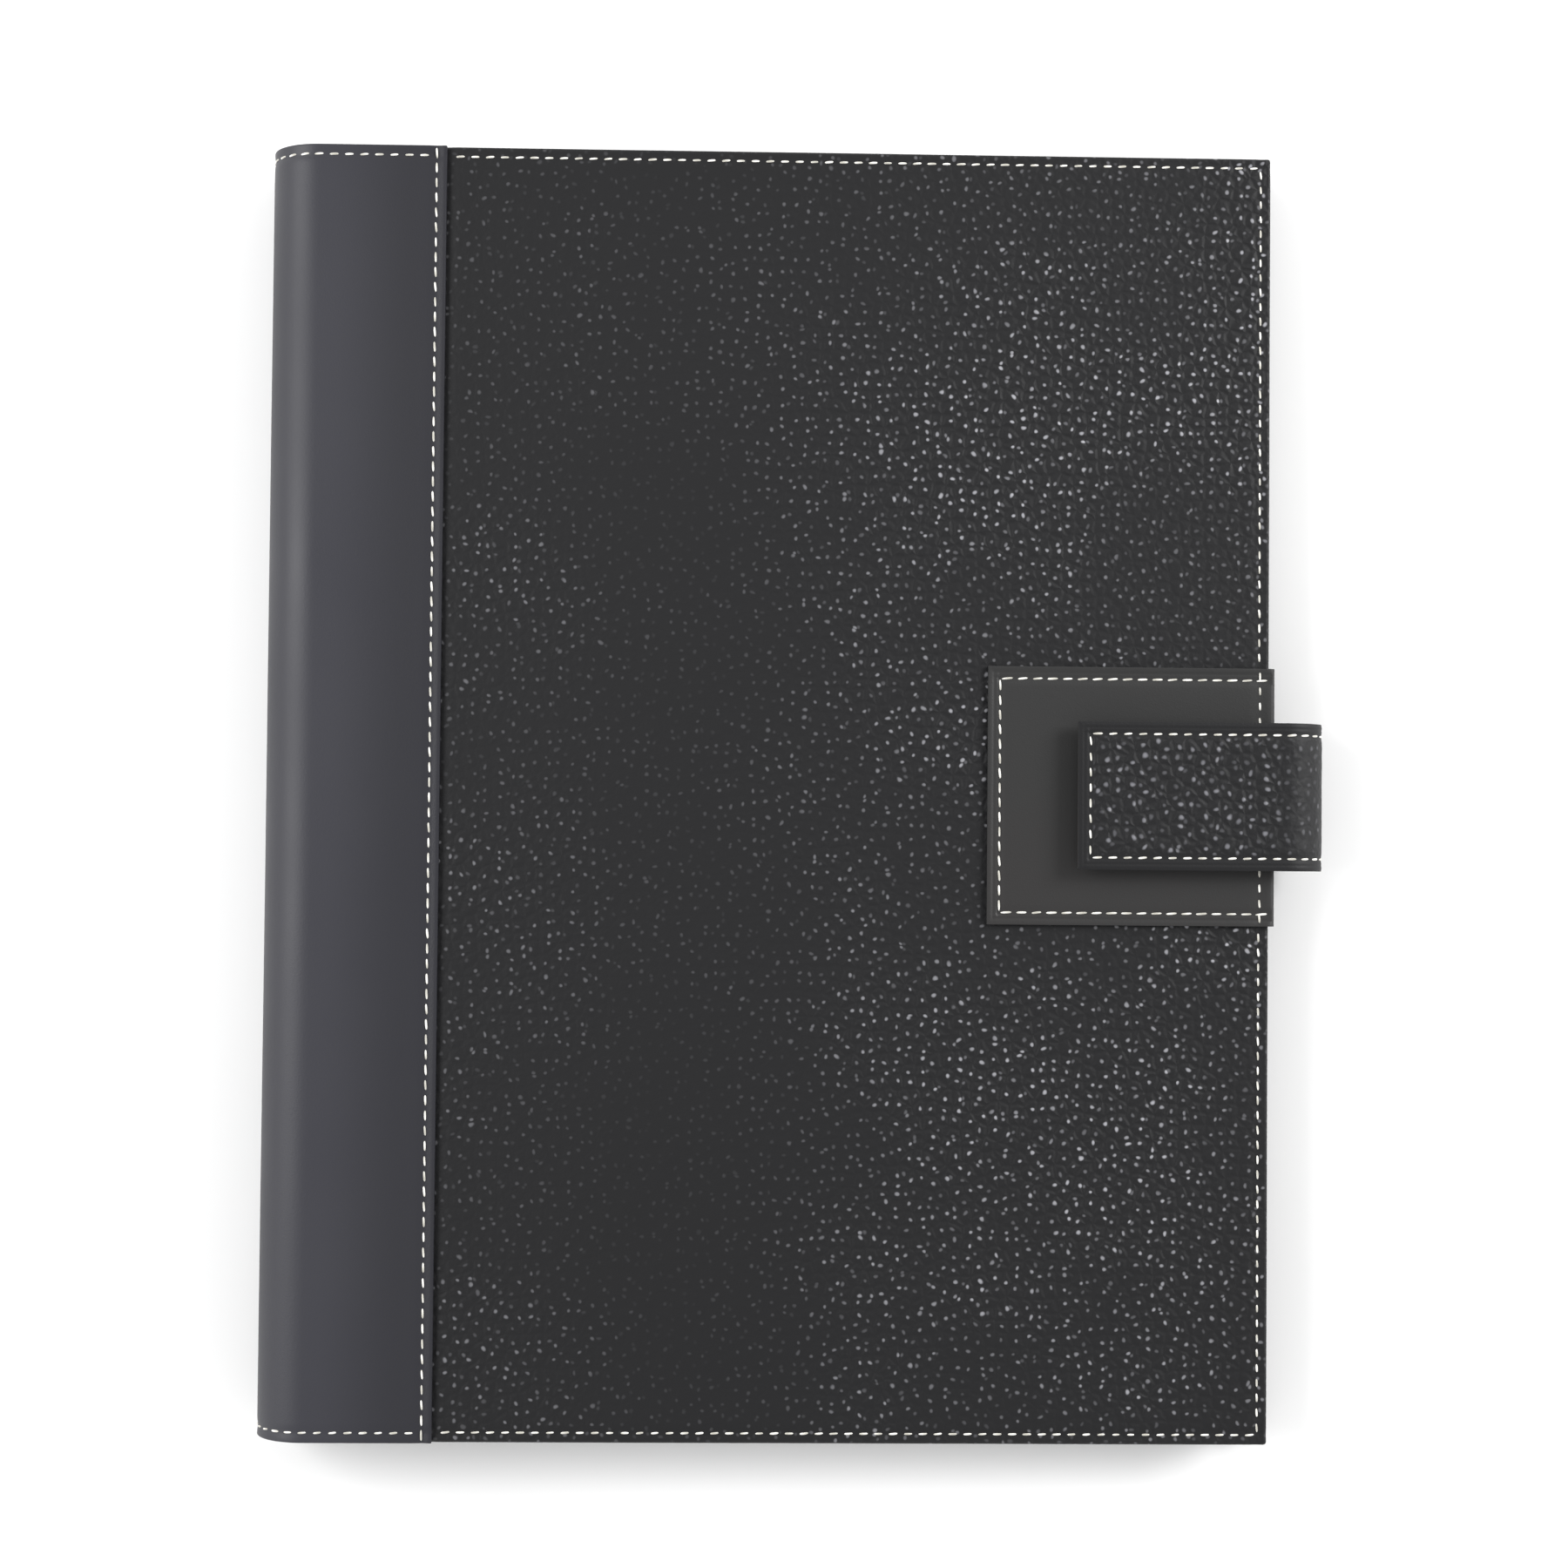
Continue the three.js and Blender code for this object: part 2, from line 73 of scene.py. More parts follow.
# Camera above the closed cover, in metres and degrees
view = {"place": (0.0035, -0.01747, 0.6923), "turn": (1.6893, 0.48, 0.4938), "lens": 62.289}
bpy.ops.object.select_all(action="DESELECT")
bpy.ops.object.camera_add(location=view["place"], rotation=[radians(a) for a in view["turn"]])
camera = bpy.context.object
camera.data.lens = view["lens"]
camera.data.sensor_width = 36
bpy.context.scene.camera = camera
bpy.context.scene.view_settings.view_transform = "Standard"


# Colours are given as sRGB hex values
def linearColour(hexValue, alpha=1.0):
    parts = [int(hexValue[i:i + 2], 16) / 255 for i in (1, 3, 5)]
    return (*[p / 12.92 if p <= 0.04045 else ((p + 0.055) / 1.055) ** 2.4 for p in parts], alpha)


# Sockets are given by name, or as i0, i1 and so on by their place
def addNode(tree, kind, settings=None, **sockets):
    node = tree.nodes.new(kind)
    for key, value in (settings or {}).items():
        setattr(node, key, value)
    for key, value in sockets.items():
        place = int(key[1:]) if key[0] == "i" and key[1:].isdigit() else key.replace("_", " ")
        if isinstance(value, bpy.types.NodeSocket):
            tree.links.new(value, node.inputs[place])
        else:
            node.inputs[place].default_value = value
    return node


def newMaterial(name, **shaderSockets):
    material = bpy.data.materials.new(name)
    material.use_nodes = True
    tree = material.node_tree
    shader = tree.nodes["Principled BSDF"]
    for key, value in shaderSockets.items():
        shader.inputs[key.replace("_", " ")].default_value = value
    return material, tree, shader


def remap(tree, value, low, high, toLow=0.0, toHigh=1.0):
    node = addNode(tree, "ShaderNodeMapRange", {"interpolation_type": "SMOOTHSTEP"}, i0=value)
    for place, number in ((1, low), (2, high), (3, toLow), (4, toHigh)):
        node.inputs[place].default_value = number
    return node.outputs[0]


def combine(tree, operation, a, b):
    return addNode(tree, "ShaderNodeMath", {"operation": operation}, i0=a, i1=b).outputs[0]


def mixColours(tree, factor, a, b):
    node = addNode(tree, "ShaderNodeMix", {"data_type": "RGBA"}, i0=factor, i6=a, i7=b)
    return node.outputs[2]


def bump(tree, shader, height, distance, strength=1.0, before=None):
    node = addNode(tree, "ShaderNodeBump", None, Height=height, Distance=distance, Strength=strength)
    if before:
        tree.links.new(before.outputs[0], node.inputs["Normal"])
    tree.links.new(node.outputs[0], shader.inputs["Normal"])
    return node


smoothSpec = {
    "poresPerMetre": 2600, "cloudsPerMetre": 14, "finePerMetre": 900, "poreDepth": 0.00006,
    # Developed width in metres where a painted highlight lies along the roll: it starts at the roll's
    # side, is full at the roll's top and has faded before the seam
    "rollHighlightStart": 0.052, "rollHighlightFull": 0.067, "rollHighlightFade": 0.074, "rollHighlightEnd": 0.097,
}


def smoothLeatherMaterial(name, base, worn, rollHighlight=None):
    # Finished calf, plated smooth: an even satin charcoal with a soft broad highlight and fine pores
    material, tree, shader = newMaterial(name, Roughness=0.46, IOR=1.45)
    shader.inputs["Specular IOR Level"].default_value = 0.4
    at = addNode(tree, "ShaderNodeUVMap", {"uv_map": "hide"}).outputs[0]
    clouds = addNode(tree, "ShaderNodeTexNoise", None, Vector=at, Scale=smoothSpec["cloudsPerMetre"],
                     Detail=3.0).outputs[0]
    fine = addNode(tree, "ShaderNodeTexNoise", None, Vector=at, Scale=smoothSpec["finePerMetre"],
                   Detail=2.0).outputs[0]
    pores = addNode(tree, "ShaderNodeTexVoronoi", None, Vector=at,
                    Scale=smoothSpec["poresPerMetre"]).outputs[0]
    tint = mixColours(tree, remap(tree, clouds, 0.35, 0.7), linearColour(base), linearColour(worn))
    # Painted highlight: a paler colour along the roll's top
    if rollHighlight:
        across = addNode(tree, "ShaderNodeSeparateXYZ", None, i0=at).outputs[0]
        overRoll = combine(tree, "MULTIPLY",
                           remap(tree, across, smoothSpec["rollHighlightEnd"], smoothSpec["rollHighlightFade"]),
                           remap(tree, across, smoothSpec["rollHighlightStart"], smoothSpec["rollHighlightFull"]))
        tint = mixColours(tree, overRoll, tint, linearColour(rollHighlight))
    tree.links.new(tint, shader.inputs["Base Color"])
    tree.links.new(remap(tree, clouds, 0.3, 0.75, 0.5, 0.4), shader.inputs["Roughness"])
    grain = combine(tree, "MULTIPLY", pores, remap(tree, fine, 0.3, 0.7, 0.4, 1.0))
    bump(tree, shader, grain, smoothSpec["poreDepth"], 0.35)
    return material


grainSpec = {
    # The tip colour is a painted highlight: a bright fleck on each pebble's top
    "base": "#121214", "tip": "#98989d", "pebble": 3.0,   # pebble spacing in mm
    "tipFrom": 0.06, "tipTo": 0.21,      # a tip's radius where it is full and where it ends, in pebbles
    "wander": 0.0016, "wanderPerMetre": 240, "scatter": 0.85,   # rows of pebbles stray, in metres
    "cloudsPerMetre": 16, "finePerMetre": 1400,
    "domeDepth": 0.00035, "fineDepth": 0.00008,
    # Where across the cover, in metres, the emboss flattens and the painted pebble highlights dim to a
    # dark band, and how both come back towards the seam
    "fadeFrom": 0.085, "fadeTo": 0.175, "seamFrom": 0.095, "seamTo": 0.04, "seamEmbossAndHighlight": 0.45,
}

# The strap's own pebbles, in metres: duller painted tip highlights, smooth outside the stitches, and
# finer round the bend
strapGrainSpec = {
    "tip": "#75757a", "tipTo": 0.25, "smoothRim": 0.0034, "rimFade": 0.0012, "half": 0.01825,
    "bendFrom": 0.051, "bendTo": 0.047, "bendPress": 0.35,
}


def grainLeatherMaterial(name, tipHighlightColour, tipSize, band=None):
    # Pebble-embossed cowhide: near black, with a painted highlight on each pebble's tip, a small bright
    # fleck, where the tip is also glossier
    material, tree, shader = newMaterial(name, Roughness=0.5, IOR=1.45)
    shader.inputs["Specular IOR Level"].default_value = 0.38
    at = addNode(tree, "ShaderNodeUVMap", {"uv_map": "hide"}).outputs[0]
    wander = addNode(tree, "ShaderNodeTexNoise", {"noise_dimensions": "2D"}, Vector=at,
                     Scale=grainSpec["wanderPerMetre"], Detail=1.0).outputs["Color"]
    shift = addNode(tree, "ShaderNodeVectorMath", {"operation": "MULTIPLY"}, i0=wander,
                    i1=(grainSpec["wander"], grainSpec["wander"], 0.0)).outputs[0]
    spot = addNode(tree, "ShaderNodeVectorMath", {"operation": "ADD"}, i0=at, i1=shift).outputs[0]
    perMetre = 1000 / grainSpec["pebble"]
    cells, walls = [addNode(tree, "ShaderNodeTexVoronoi", {"voronoi_dimensions": "2D", "feature": kind},
                            Vector=spot, Scale=perMetre, Randomness=grainSpec["scatter"])
                    for kind in ("F1", "DISTANCE_TO_EDGE")]
    tips = remap(tree, cells.outputs[0], tipSize, grainSpec["tipFrom"])
    clouds = addNode(tree, "ShaderNodeTexNoise", {"noise_dimensions": "2D"}, Vector=at,
                     Scale=grainSpec["cloudsPerMetre"], Detail=2.0).outputs[0]
    cellPick = addNode(tree, "ShaderNodeSeparateColor", None, i0=cells.outputs["Color"]).outputs[0]
    embossAndHighlight = remap(tree, clouds, 0.38, 0.62, 0.35, 1.0)
    apart = addNode(tree, "ShaderNodeSeparateXYZ", None, i0=at)
    across = apart.outputs[0]
    if band:   # the strap's edges were pressed smooth outside its stitches
        rim, fade = band["smoothRim"], band["rimFade"]
        out = combine(tree, "ABSOLUTE", apart.outputs[1], 0.0)
        embossAndHighlight = combine(tree, "MULTIPLY",
                          remap(tree, out, band["half"] - rim, band["half"] - rim - fade),
                          remap(tree, across, rim, rim + fade))
        embossAndHighlight = combine(tree, "MULTIPLY", embossAndHighlight,
                          remap(tree, across, band["bendFrom"], band["bendTo"], band["bendPress"], 1.0))
    else:
        # Painted shading of the highlights: the painted pebble highlights dim across a middle band, with
        # the emboss, and come back towards the seam and the fore edge
        side = remap(tree, across, grainSpec["fadeFrom"], grainSpec["fadeTo"], 0.12, 1.0)
        near = remap(tree, across, grainSpec["seamFrom"], grainSpec["seamTo"], 0.0,
                     grainSpec["seamEmbossAndHighlight"])
        embossAndHighlight = combine(tree, "MULTIPLY", embossAndHighlight, combine(tree, "MAXIMUM", side, near))
    # Painted highlight: a bright fleck of colour on each pebble's tip, which is also glossier there
    paintedTipHighlight = combine(tree, "MULTIPLY", combine(tree, "MULTIPLY", tips, embossAndHighlight),
                      remap(tree, cellPick, 0.1, 0.9, 0.25, 1.0))
    tree.links.new(mixColours(tree, paintedTipHighlight, linearColour(grainSpec["base"]),
                              linearColour(tipHighlightColour)), shader.inputs["Base Color"])
    tree.links.new(remap(tree, paintedTipHighlight, 0.0, 1.0, 0.56, 0.3), shader.inputs["Roughness"])
    fine = addNode(tree, "ShaderNodeTexNoise", {"noise_dimensions": "2D"}, Vector=at,
                   Scale=grainSpec["finePerMetre"], Detail=3.0).outputs[0]
    dome = combine(tree, "MULTIPLY", remap(tree, walls.outputs[0], 0.0, 0.35), embossAndHighlight)
    first = bump(tree, shader, dome, grainSpec["domeDepth"], 0.55)
    bump(tree, shader, fine, grainSpec["fineDepth"], 0.5, first)
    return material


def clothMaterial(name, dark, light, threadsPerMetre, rough):
    # Plain woven cloth: matt, with crossing ribs; drawn at about 2 threads a millimetre so it shows
    material, tree, shader = newMaterial(name, Roughness=rough)
    shader.inputs["Sheen Weight"].default_value = 0.25
    at = addNode(tree, "ShaderNodeUVMap", {"uv_map": "hide"}).outputs[0]
    waves = [addNode(tree, "ShaderNodeTexWave", {"bands_direction": way}, Vector=at,
                     Scale=threadsPerMetre / 20, Distortion=0.4).outputs[1] for way in ("X", "Y")]
    weave = combine(tree, "MULTIPLY", waves[0], waves[1])
    slub = addNode(tree, "ShaderNodeTexNoise", None, Vector=at, Scale=300.0, Detail=2.0).outputs[0]
    tone = combine(tree, "MULTIPLY", weave, remap(tree, slub, 0.3, 0.7, 0.5, 1.0))
    tree.links.new(mixColours(tree, tone, linearColour(dark), linearColour(light)),
                   shader.inputs["Base Color"])
    bump(tree, shader, weave, 0.00015, 0.6)
    return material


def flecked(name, dark, light, scale, rough, bumpHigh, metallic=0.0):
    # Board, card, tape or metal: a fine random fleck breaks up its colour, shine and surface
    material, tree, shader = newMaterial(name, Roughness=rough, Metallic=metallic)
    at = addNode(tree, "ShaderNodeTexCoord").outputs["Object"]
    fleck = addNode(tree, "ShaderNodeTexNoise", None, Vector=at, Scale=scale, Detail=4.0).outputs[0]
    tree.links.new(mixColours(tree, remap(tree, fleck, 0.35, 0.65), linearColour(dark),
                              linearColour(light)), shader.inputs["Base Color"])
    tree.links.new(remap(tree, fleck, 0.3, 0.7, max(rough - 0.06, 0.05), min(rough + 0.06, 1)),
                   shader.inputs["Roughness"])
    bump(tree, shader, fleck, bumpHigh, 0.5)
    return material


def threadMaterial():
    # Waxed polyester sewing thread: off-white, slightly shiny, with the plies' slanting ridges
    material, tree, shader = newMaterial("waxedPolyesterThread", Roughness=0.5)
    shader.inputs["Sheen Weight"].default_value = 0.2
    at = addNode(tree, "ShaderNodeTexCoord").outputs["Object"]
    ply = addNode(tree, "ShaderNodeTexWave", {"bands_direction": "DIAGONAL"}, Vector=at,
                  Scale=110.0, Distortion=0.6).outputs[1]
    tree.links.new(mixColours(tree, ply, linearColour("#b9b6ac"), linearColour("#f2f0ea")),
                   shader.inputs["Base Color"])
    bump(tree, shader, ply, 0.00008, 0.5)
    return material


def ruledPaperMaterial():
    # Uncoated writing paper, ruled in pale blue every 7 mm, with its faint fibres
    material, tree, shader = newMaterial("ruledWritingPaper", Roughness=0.93)
    ruling = 7.0   # mm
    at = addNode(tree, "ShaderNodeTexCoord").outputs["Object"]
    fibres = addNode(tree, "ShaderNodeTexNoise", None, Vector=at, Scale=700.0, Detail=4.0).outputs[0]
    along = addNode(tree, "ShaderNodeSeparateXYZ", None, i0=at).outputs[1]
    wave = combine(tree, "FRACT", combine(tree, "MULTIPLY", along, 1000 / ruling), 0.0)
    rule = remap(tree, combine(tree, "ABSOLUTE", combine(tree, "SUBTRACT", wave, 0.5), 0.0),
                 0.045, 0.025)
    up = addNode(tree, "ShaderNodeSeparateXYZ", None,
                 i0=addNode(tree, "ShaderNodeNewGeometry").outputs["Normal"]).outputs[2]
    rule = combine(tree, "MULTIPLY", rule, remap(tree, up, 0.5, 0.9))
    white = mixColours(tree, fibres, linearColour("#dedbd0"), linearColour("#d2cfc4"))
    tree.links.new(mixColours(tree, rule, white, linearColour("#8fa3bf")),
                   shader.inputs["Base Color"])
    bump(tree, shader, fibres, 0.00003, 0.4)
    return material


def elasticMaterial():
    # Braided elastic: matt black, with rows of ribs along the loop that catch a little light
    material, tree, shader = newMaterial("braidedElastic", Roughness=0.85)
    at = addNode(tree, "ShaderNodeUVMap", {"uv_map": "hide"}).outputs[0]
    ribs = addNode(tree, "ShaderNodeTexWave", {"bands_direction": "Y"}, Vector=at,
                   Scale=45.0).outputs[1]
    tree.links.new(mixColours(tree, ribs, linearColour("#121214"), linearColour("#2b2b2e")),
                   shader.inputs["Base Color"])
    bump(tree, shader, ribs, 0.0002, 0.7)
    return material


materials = {
    "smooth_leather": smoothLeatherMaterial("finishedCalfSmooth", "#2a2a2a", "#2e2d2d"),
    # The spine's third colour is a painted highlight along the roll's top
    "spineCalf": smoothLeatherMaterial("finishedCalfSpine", "#26262b", "#29292e", "#333339"),
    # The pebble leathers' tip colours are painted highlights
    "grain_leather": grainLeatherMaterial("embossedPebbleLeather", grainSpec["tip"],
                                          grainSpec["tipTo"]),
    "strapGrain": grainLeatherMaterial("embossedPebbleStrap", strapGrainSpec["tip"],
                                       strapGrainSpec["tipTo"], strapGrainSpec),
    "lining": clothMaterial("cottonTwillLining", "#161618", "#2a2a2e", 2000, 0.9),
    # Bookbinder's board: matt, nearly black, with short fibres
    "board": flecked("blackBookboard", "#1d1c1a", "#292724", 900, 0.95, 0.00005),
    "thread": threadMaterial(),
    # Bright nickel plate on a pressed steel snap: soft reflections with faint handling marks
    "nickel": flecked("brightNickelPlate", "#b4b5b5", "#cfd0ce", 400, 0.22, 0.000004, 1.0),
    # Pressed ferrite: dark grey, matt, slightly granular
    "magnet": flecked("pressedFerrite", "#333335", "#454547", 1500, 0.6, 0.00002, 0.3),
    "elastic": elasticMaterial(),
    # Kraft card backs the pad: warm brown and matt
    "card": flecked("kraftCard", "#987f58", "#b59a70", 500, 0.92, 0.00004),
    "paper": ruledPaperMaterial(),
    # Cloth tape over the pad's glued head: dark blue with a dull weave
    "tape": flecked("bookbindingTape", "#242e3a", "#334050", 1200, 0.7, 0.00006),
}
print("materials made")


# Leaves edit mode with nothing selected
def startFresh():
    if bpy.context.object and bpy.context.object.mode != "OBJECT":
        bpy.ops.object.mode_set(mode="OBJECT")
    bpy.ops.object.select_all(action="DESELECT")


def focus(piece):
    startFresh()
    piece.select_set(True)
    bpy.context.view_layer.objects.active = piece


def applyModifier(piece, kind, **settings):
    focus(piece)
    modifier = piece.modifiers.new(kind.title(), kind)
    for key, value in settings.items():
        setattr(modifier, key, value)
    bpy.ops.object.modifier_apply(modifier=modifier.name)


def finishPiece(piece, body, slot, nodes=(), material=None, smoothAngle=35):
    focus(piece)
    bpy.ops.object.shade_smooth_by_angle(angle=radians(smoothAngle))
    piece.data.materials.clear()
    piece.data.materials.append(materials[material or slot])
    if isinstance(body, str):
        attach(piece, body)
    else:
        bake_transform(piece)
    if nodes:
        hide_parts(*nodes)
    return piece


# A point on a cover: along from the roll, y, and level out from the roll's middle, in millimetres
def frontPoint(along, y, level):
    return Vector(((cover["rollX"] + along * cos(slope) + level * sin(slope)) * mm, y * mm,
                   (cover["rollZ"] - along * sin(slope) + level * cos(slope)) * mm))


def backPoint(along, y, level):
    return Vector(((cover["rollX"] + along) * mm, y * mm, (cover["rollZ"] - level) * mm))


# The same three numbers for a point in space
def onCover(point, side):
    x, z = point.x / mm - cover["rollX"], point.z / mm - cover["rollZ"]
    if side == "back":
        return x, point.y / mm, -z
    return x * cos(slope) - z * sin(slope), point.y / mm, x * sin(slope) + z * cos(slope)


# Lays a flat-sided piece's pattern straight on each of its sides, in metres
def unwrapSides(piece):
    layer = piece.data.uv_layers.active or piece.data.uv_layers.new()
    layer.name = "hide"
    for face in piece.data.polygons:
        axis = max(range(3), key=lambda i: abs(face.normal[i]))
        for loop in face.loop_indices:
            spot = piece.data.vertices[piece.data.loops[loop].vertex_index].co
            layer.data[loop].uv = [spot[i] for i in range(3) if i != axis]


def roundedSlab(name, low, high, rim=0.0, segments=2):
    startFresh()
    size = [b - a for a, b in zip(low, high)]
    bpy.ops.mesh.primitive_cube_add(size=1, location=[(a + b) / 2 * mm for a, b in zip(low, high)],
                                    scale=[s * mm for s in size])
    slab = bpy.context.object
    slab.name = name
    bpy.ops.object.transform_apply(location=True, scale=True)
    if rim:
        applyModifier(slab, "BEVEL", width=rim * mm, segments=segments, limit_method="ANGLE",
                      angle_limit=radians(60))
    return slab


def joinPieces(pieces, name):
    startFresh()
    for piece in pieces:
        piece.select_set(True)
    bpy.context.view_layer.objects.active = pieces[0]
    bpy.ops.object.join()
    bpy.context.object.name = name
    return bpy.context.object


def steps(low, high, size):
    count = max(1, round((high - low) / size))
    return [low + (high - low) * i / count for i in range(count + 1)]


# Joins runs of steps, and drops a step that is too near the one before
def joinSteps(*runs, least=0.12):
    values = sorted({round(v, 4) for run in runs for v in run})
    kept = [values[0]]
    for value in values[1:]:
        if value - kept[-1] > least:
            kept.append(value)
    return kept


# A grid laid out by developed length across and y along, then placed point by point
def layGrid(name, acrossSteps, alongSteps, place):
    startFresh()
    bpy.ops.mesh.primitive_grid_add(x_subdivisions=len(acrossSteps) - 1,
                                    y_subdivisions=len(alongSteps) - 1, size=2)
    sheet = bpy.context.object
    sheet.name = name
    spots = []
    for vertex in sheet.data.vertices:
        i = round((vertex.co.x + 1) / 2 * (len(acrossSteps) - 1))
        j = round((vertex.co.y + 1) / 2 * (len(alongSteps) - 1))
        spots.append((acrossSteps[i], alongSteps[j]))
        vertex.co = place(*spots[-1])
    layer = sheet.data.uv_layers.active or sheet.data.uv_layers.new()
    layer.name = "hide"
    for loop in sheet.data.loops:
        layer.data[loop.index].uv = [v * mm for v in spots[loop.vertex_index]]
    return sheet


def thicken(sheet, thickness, rim=0.25):
    applyModifier(sheet, "SOLIDIFY", thickness=thickness * mm, offset=-1, use_even_offset=True)
    applyModifier(sheet, "BEVEL", width=rim * mm, segments=2, limit_method="ANGLE",
                  angle_limit=radians(60), harden_normals=False)


# Low waves of hand-cut leather, and the furrow that a row of stitches pulls in
def slack(x, y, size=0.12):
    return size * noise.noise(Vector((x / 34, y / 41, 0.3)))


def furrow(distance, deep=0.22, half=1.1):
    return -deep * exp(-(distance / half) ** 2)


# The line that a hot creasing iron leaves beside a cut edge
def crease(distance, at=1.5):
    return -0.13 * exp(-((distance - at) / 0.32) ** 2)


# One stitch is modelled and then copied along each line, in millimetres
stitchSpec = {"long": 2.5, "pitch": 3.7, "thick": 0.52, "high": 0.42, "slant": 4.0,
              "tight": 1.18}   # on the seam and the patch the stitches nearly meet


def modelStitch():
    startFresh()
    bpy.ops.mesh.primitive_cylinder_add(vertices=6, radius=0.5, depth=1, rotation=(0, pi / 2, 0))
    master = bpy.context.object
    bpy.ops.object.transform_apply(rotation=True)
    bpy.ops.object.mode_set(mode="EDIT")
    mesh = bmesh.from_edit_mesh(master.data)
    for x in (-0.3, -0.08, 0.08, 0.3):
        bmesh.ops.bisect_plane(mesh, geom=mesh.verts[:] + mesh.edges[:] + mesh.faces[:],
                               plane_co=(x, 0, 0), plane_no=(1, 0, 0))
    bmesh.update_edit_mesh(master.data)
    bpy.ops.object.mode_set(mode="OBJECT")
    for vertex in master.data.vertices:
        reach = abs(vertex.co.x) * 2
        swell = 1 - 0.55 * reach ** 3
        vertex.co = Vector((vertex.co.x * stitchSpec["long"], vertex.co.y * stitchSpec["thick"] * swell,
                            vertex.co.z * stitchSpec["high"] * swell - 0.34 * reach ** 3 + 0.06))
    return master


stitchMaster = modelStitch()


# Each stitch is a place (a point, the way it runs, and out of the leather)
def sewRow(name, places, body, seed, nodes=(), stretch=1.0):
    draw = random.Random(seed)
    mesh = bmesh.new()
    for point, way, out in places:
        side = out.cross(way).normalized()
        tilt = radians(stitchSpec["slant"] + draw.uniform(-3, 3))
        run = (way.normalized() * cos(tilt) + side * sin(tilt)).normalized()
        across = out.cross(run).normalized()
        size = draw.uniform(0.93, 1.05) * mm
        turn = Matrix((run, across, out)).transposed().to_4x4()
        move = Matrix.Translation(point) @ turn @ Matrix.Scale(size, 4)
        start = len(mesh.verts)
        mesh.from_mesh(stitchMaster.data)
        mesh.verts.ensure_lookup_table()
        for vertex in mesh.verts[start:]:
            vertex.co = move @ Vector((vertex.co.x * stretch, vertex.co.y, vertex.co.z))
    startFresh()
    data = bpy.data.meshes.new(name)
    mesh.to_mesh(data)
    mesh.free()
    row = bpy.data.objects.new(name, data)
    bpy.context.scene.collection.objects.link(row)
    return finishPiece(row, body, "thread", nodes, smoothAngle=60)


# Even stitches on a straight run between two ends of a cover, in the cover's own sizes
def stitchLine(placeOn, start, end, level, up):
    a, b = placeOn(*start, level), placeOn(*end, level)
    length = (b - a).length / mm
    count = max(1, round(length / stitchSpec["pitch"]))
    return [(a.lerp(b, (i + 0.5) / count), b - a, up) for i in range(count)]


frontUp = Vector((sin(slope), 0, cos(slope)))
backUp = Vector((0, 0, -1))


# Spine: smooth leather and its lining, from one cover round the roll to the other
spine = {
    "radius": 13.0, "leather": 0.9, "folds": (60.645, 121.29),   # degrees round from the back cover
    "liningRadius": 11.9, "lining": 0.8, "liningLap": 0.4,
    "furrow": 0.2, "cutLift": 0.12, "cutWidth": 0.9,   # the cut edge stands up a little past the seam
    "turnIn": (0.5, 21.8), "tuck": 0.1,
    "lapStep": 1.6, "rollStep": 0.9, "rowStep": 0.5, "longStep": 3.2,
}


def spinePath(radius, reach):
    arc = radius * (pi + slope)

    def place(u, y, lift=0.0):
        if u < reach:
            return backPoint(reach - u, y, radius + lift), Vector((0, 0, -1)), Vector((-1, 0, 0))
        if u < reach + arc:
            turn = -pi + (u - reach) / radius
            out = Vector((sin(turn), 0, cos(turn)))
            middle = Vector((cover["rollX"] * mm, y * mm, cover["rollZ"] * mm))
            return middle + out * (radius + lift) * mm, out, Vector((cos(turn), 0, -sin(turn)))
        return (frontPoint(u - reach - arc, y, radius + lift), frontUp,
                Vector((cos(slope), 0, -sin(slope))))
    return place, 2 * reach + arc, arc


rollMiddle = (cover["rollX"], cover["rollZ"])


def rollPoint(turn, radius, centre):
    return Vector(((centre[0] + radius * sin(turn)) * mm, 0, (centre[1] + radius * cos(turn)) * mm))


spineCuts = [-pi + radians(a) for a in spine["folds"]]
spineBodies = ["back_cover", "spine_strip_1", "spine_strip_2", "front_cover"]
spineEnds = [rollPoint(turn, spine["radius"], rollMiddle) for turn in (-pi, *spineCuts, slope)]


# Each length of the spine lies between two bodies: their names and the roll's points at the length's
# ends
def spineJoint(n):
    return spineBodies[n], spineBodies[n + 1], spineEnds[n], spineEnds[n + 1]


# Cuts a finished sheet at its folds into three lengths
def cutAtFolds(sheet, centre, turns, lastOnTop):
    copies = []
    middle = Vector((centre[0] * mm, 0, centre[1] * mm))
    for n in range(3):
        focus(sheet)
        bpy.ops.object.duplicate()
        part = bpy.context.object
        limits = [(turns[n - 1], 1)] if n else []
        limits += [(turns[n], -1)] if n < 2 else []
        normals = [Vector((cos(turn), 0, -sin(turn))) * keep for turn, keep in limits]
        if n != 1:   # the flat run of the other cover lies beyond the roll's middle
            normals.append(Vector((0, 0, lastOnTop * (n - 1))))
        for normal in normals:
            bpy.ops.object.mode_set(mode="EDIT")
            bpy.ops.mesh.select_all(action="SELECT")
            bpy.ops.mesh.bisect(plane_co=middle, plane_no=normal, use_fill=True, clear_inner=True)
            bpy.ops.object.mode_set(mode="OBJECT")
        copies.append(part)
    bpy.data.objects.remove(sheet)
    return copies


def finishSpine(sheet, names, slot, nodes, material=None):
    for n, part in enumerate(cutAtFolds(sheet, rollMiddle, spineCuts, 1)):
        part.name = names[n]
        finishPiece(part, spineJoint(n), slot, nodes[n], material)


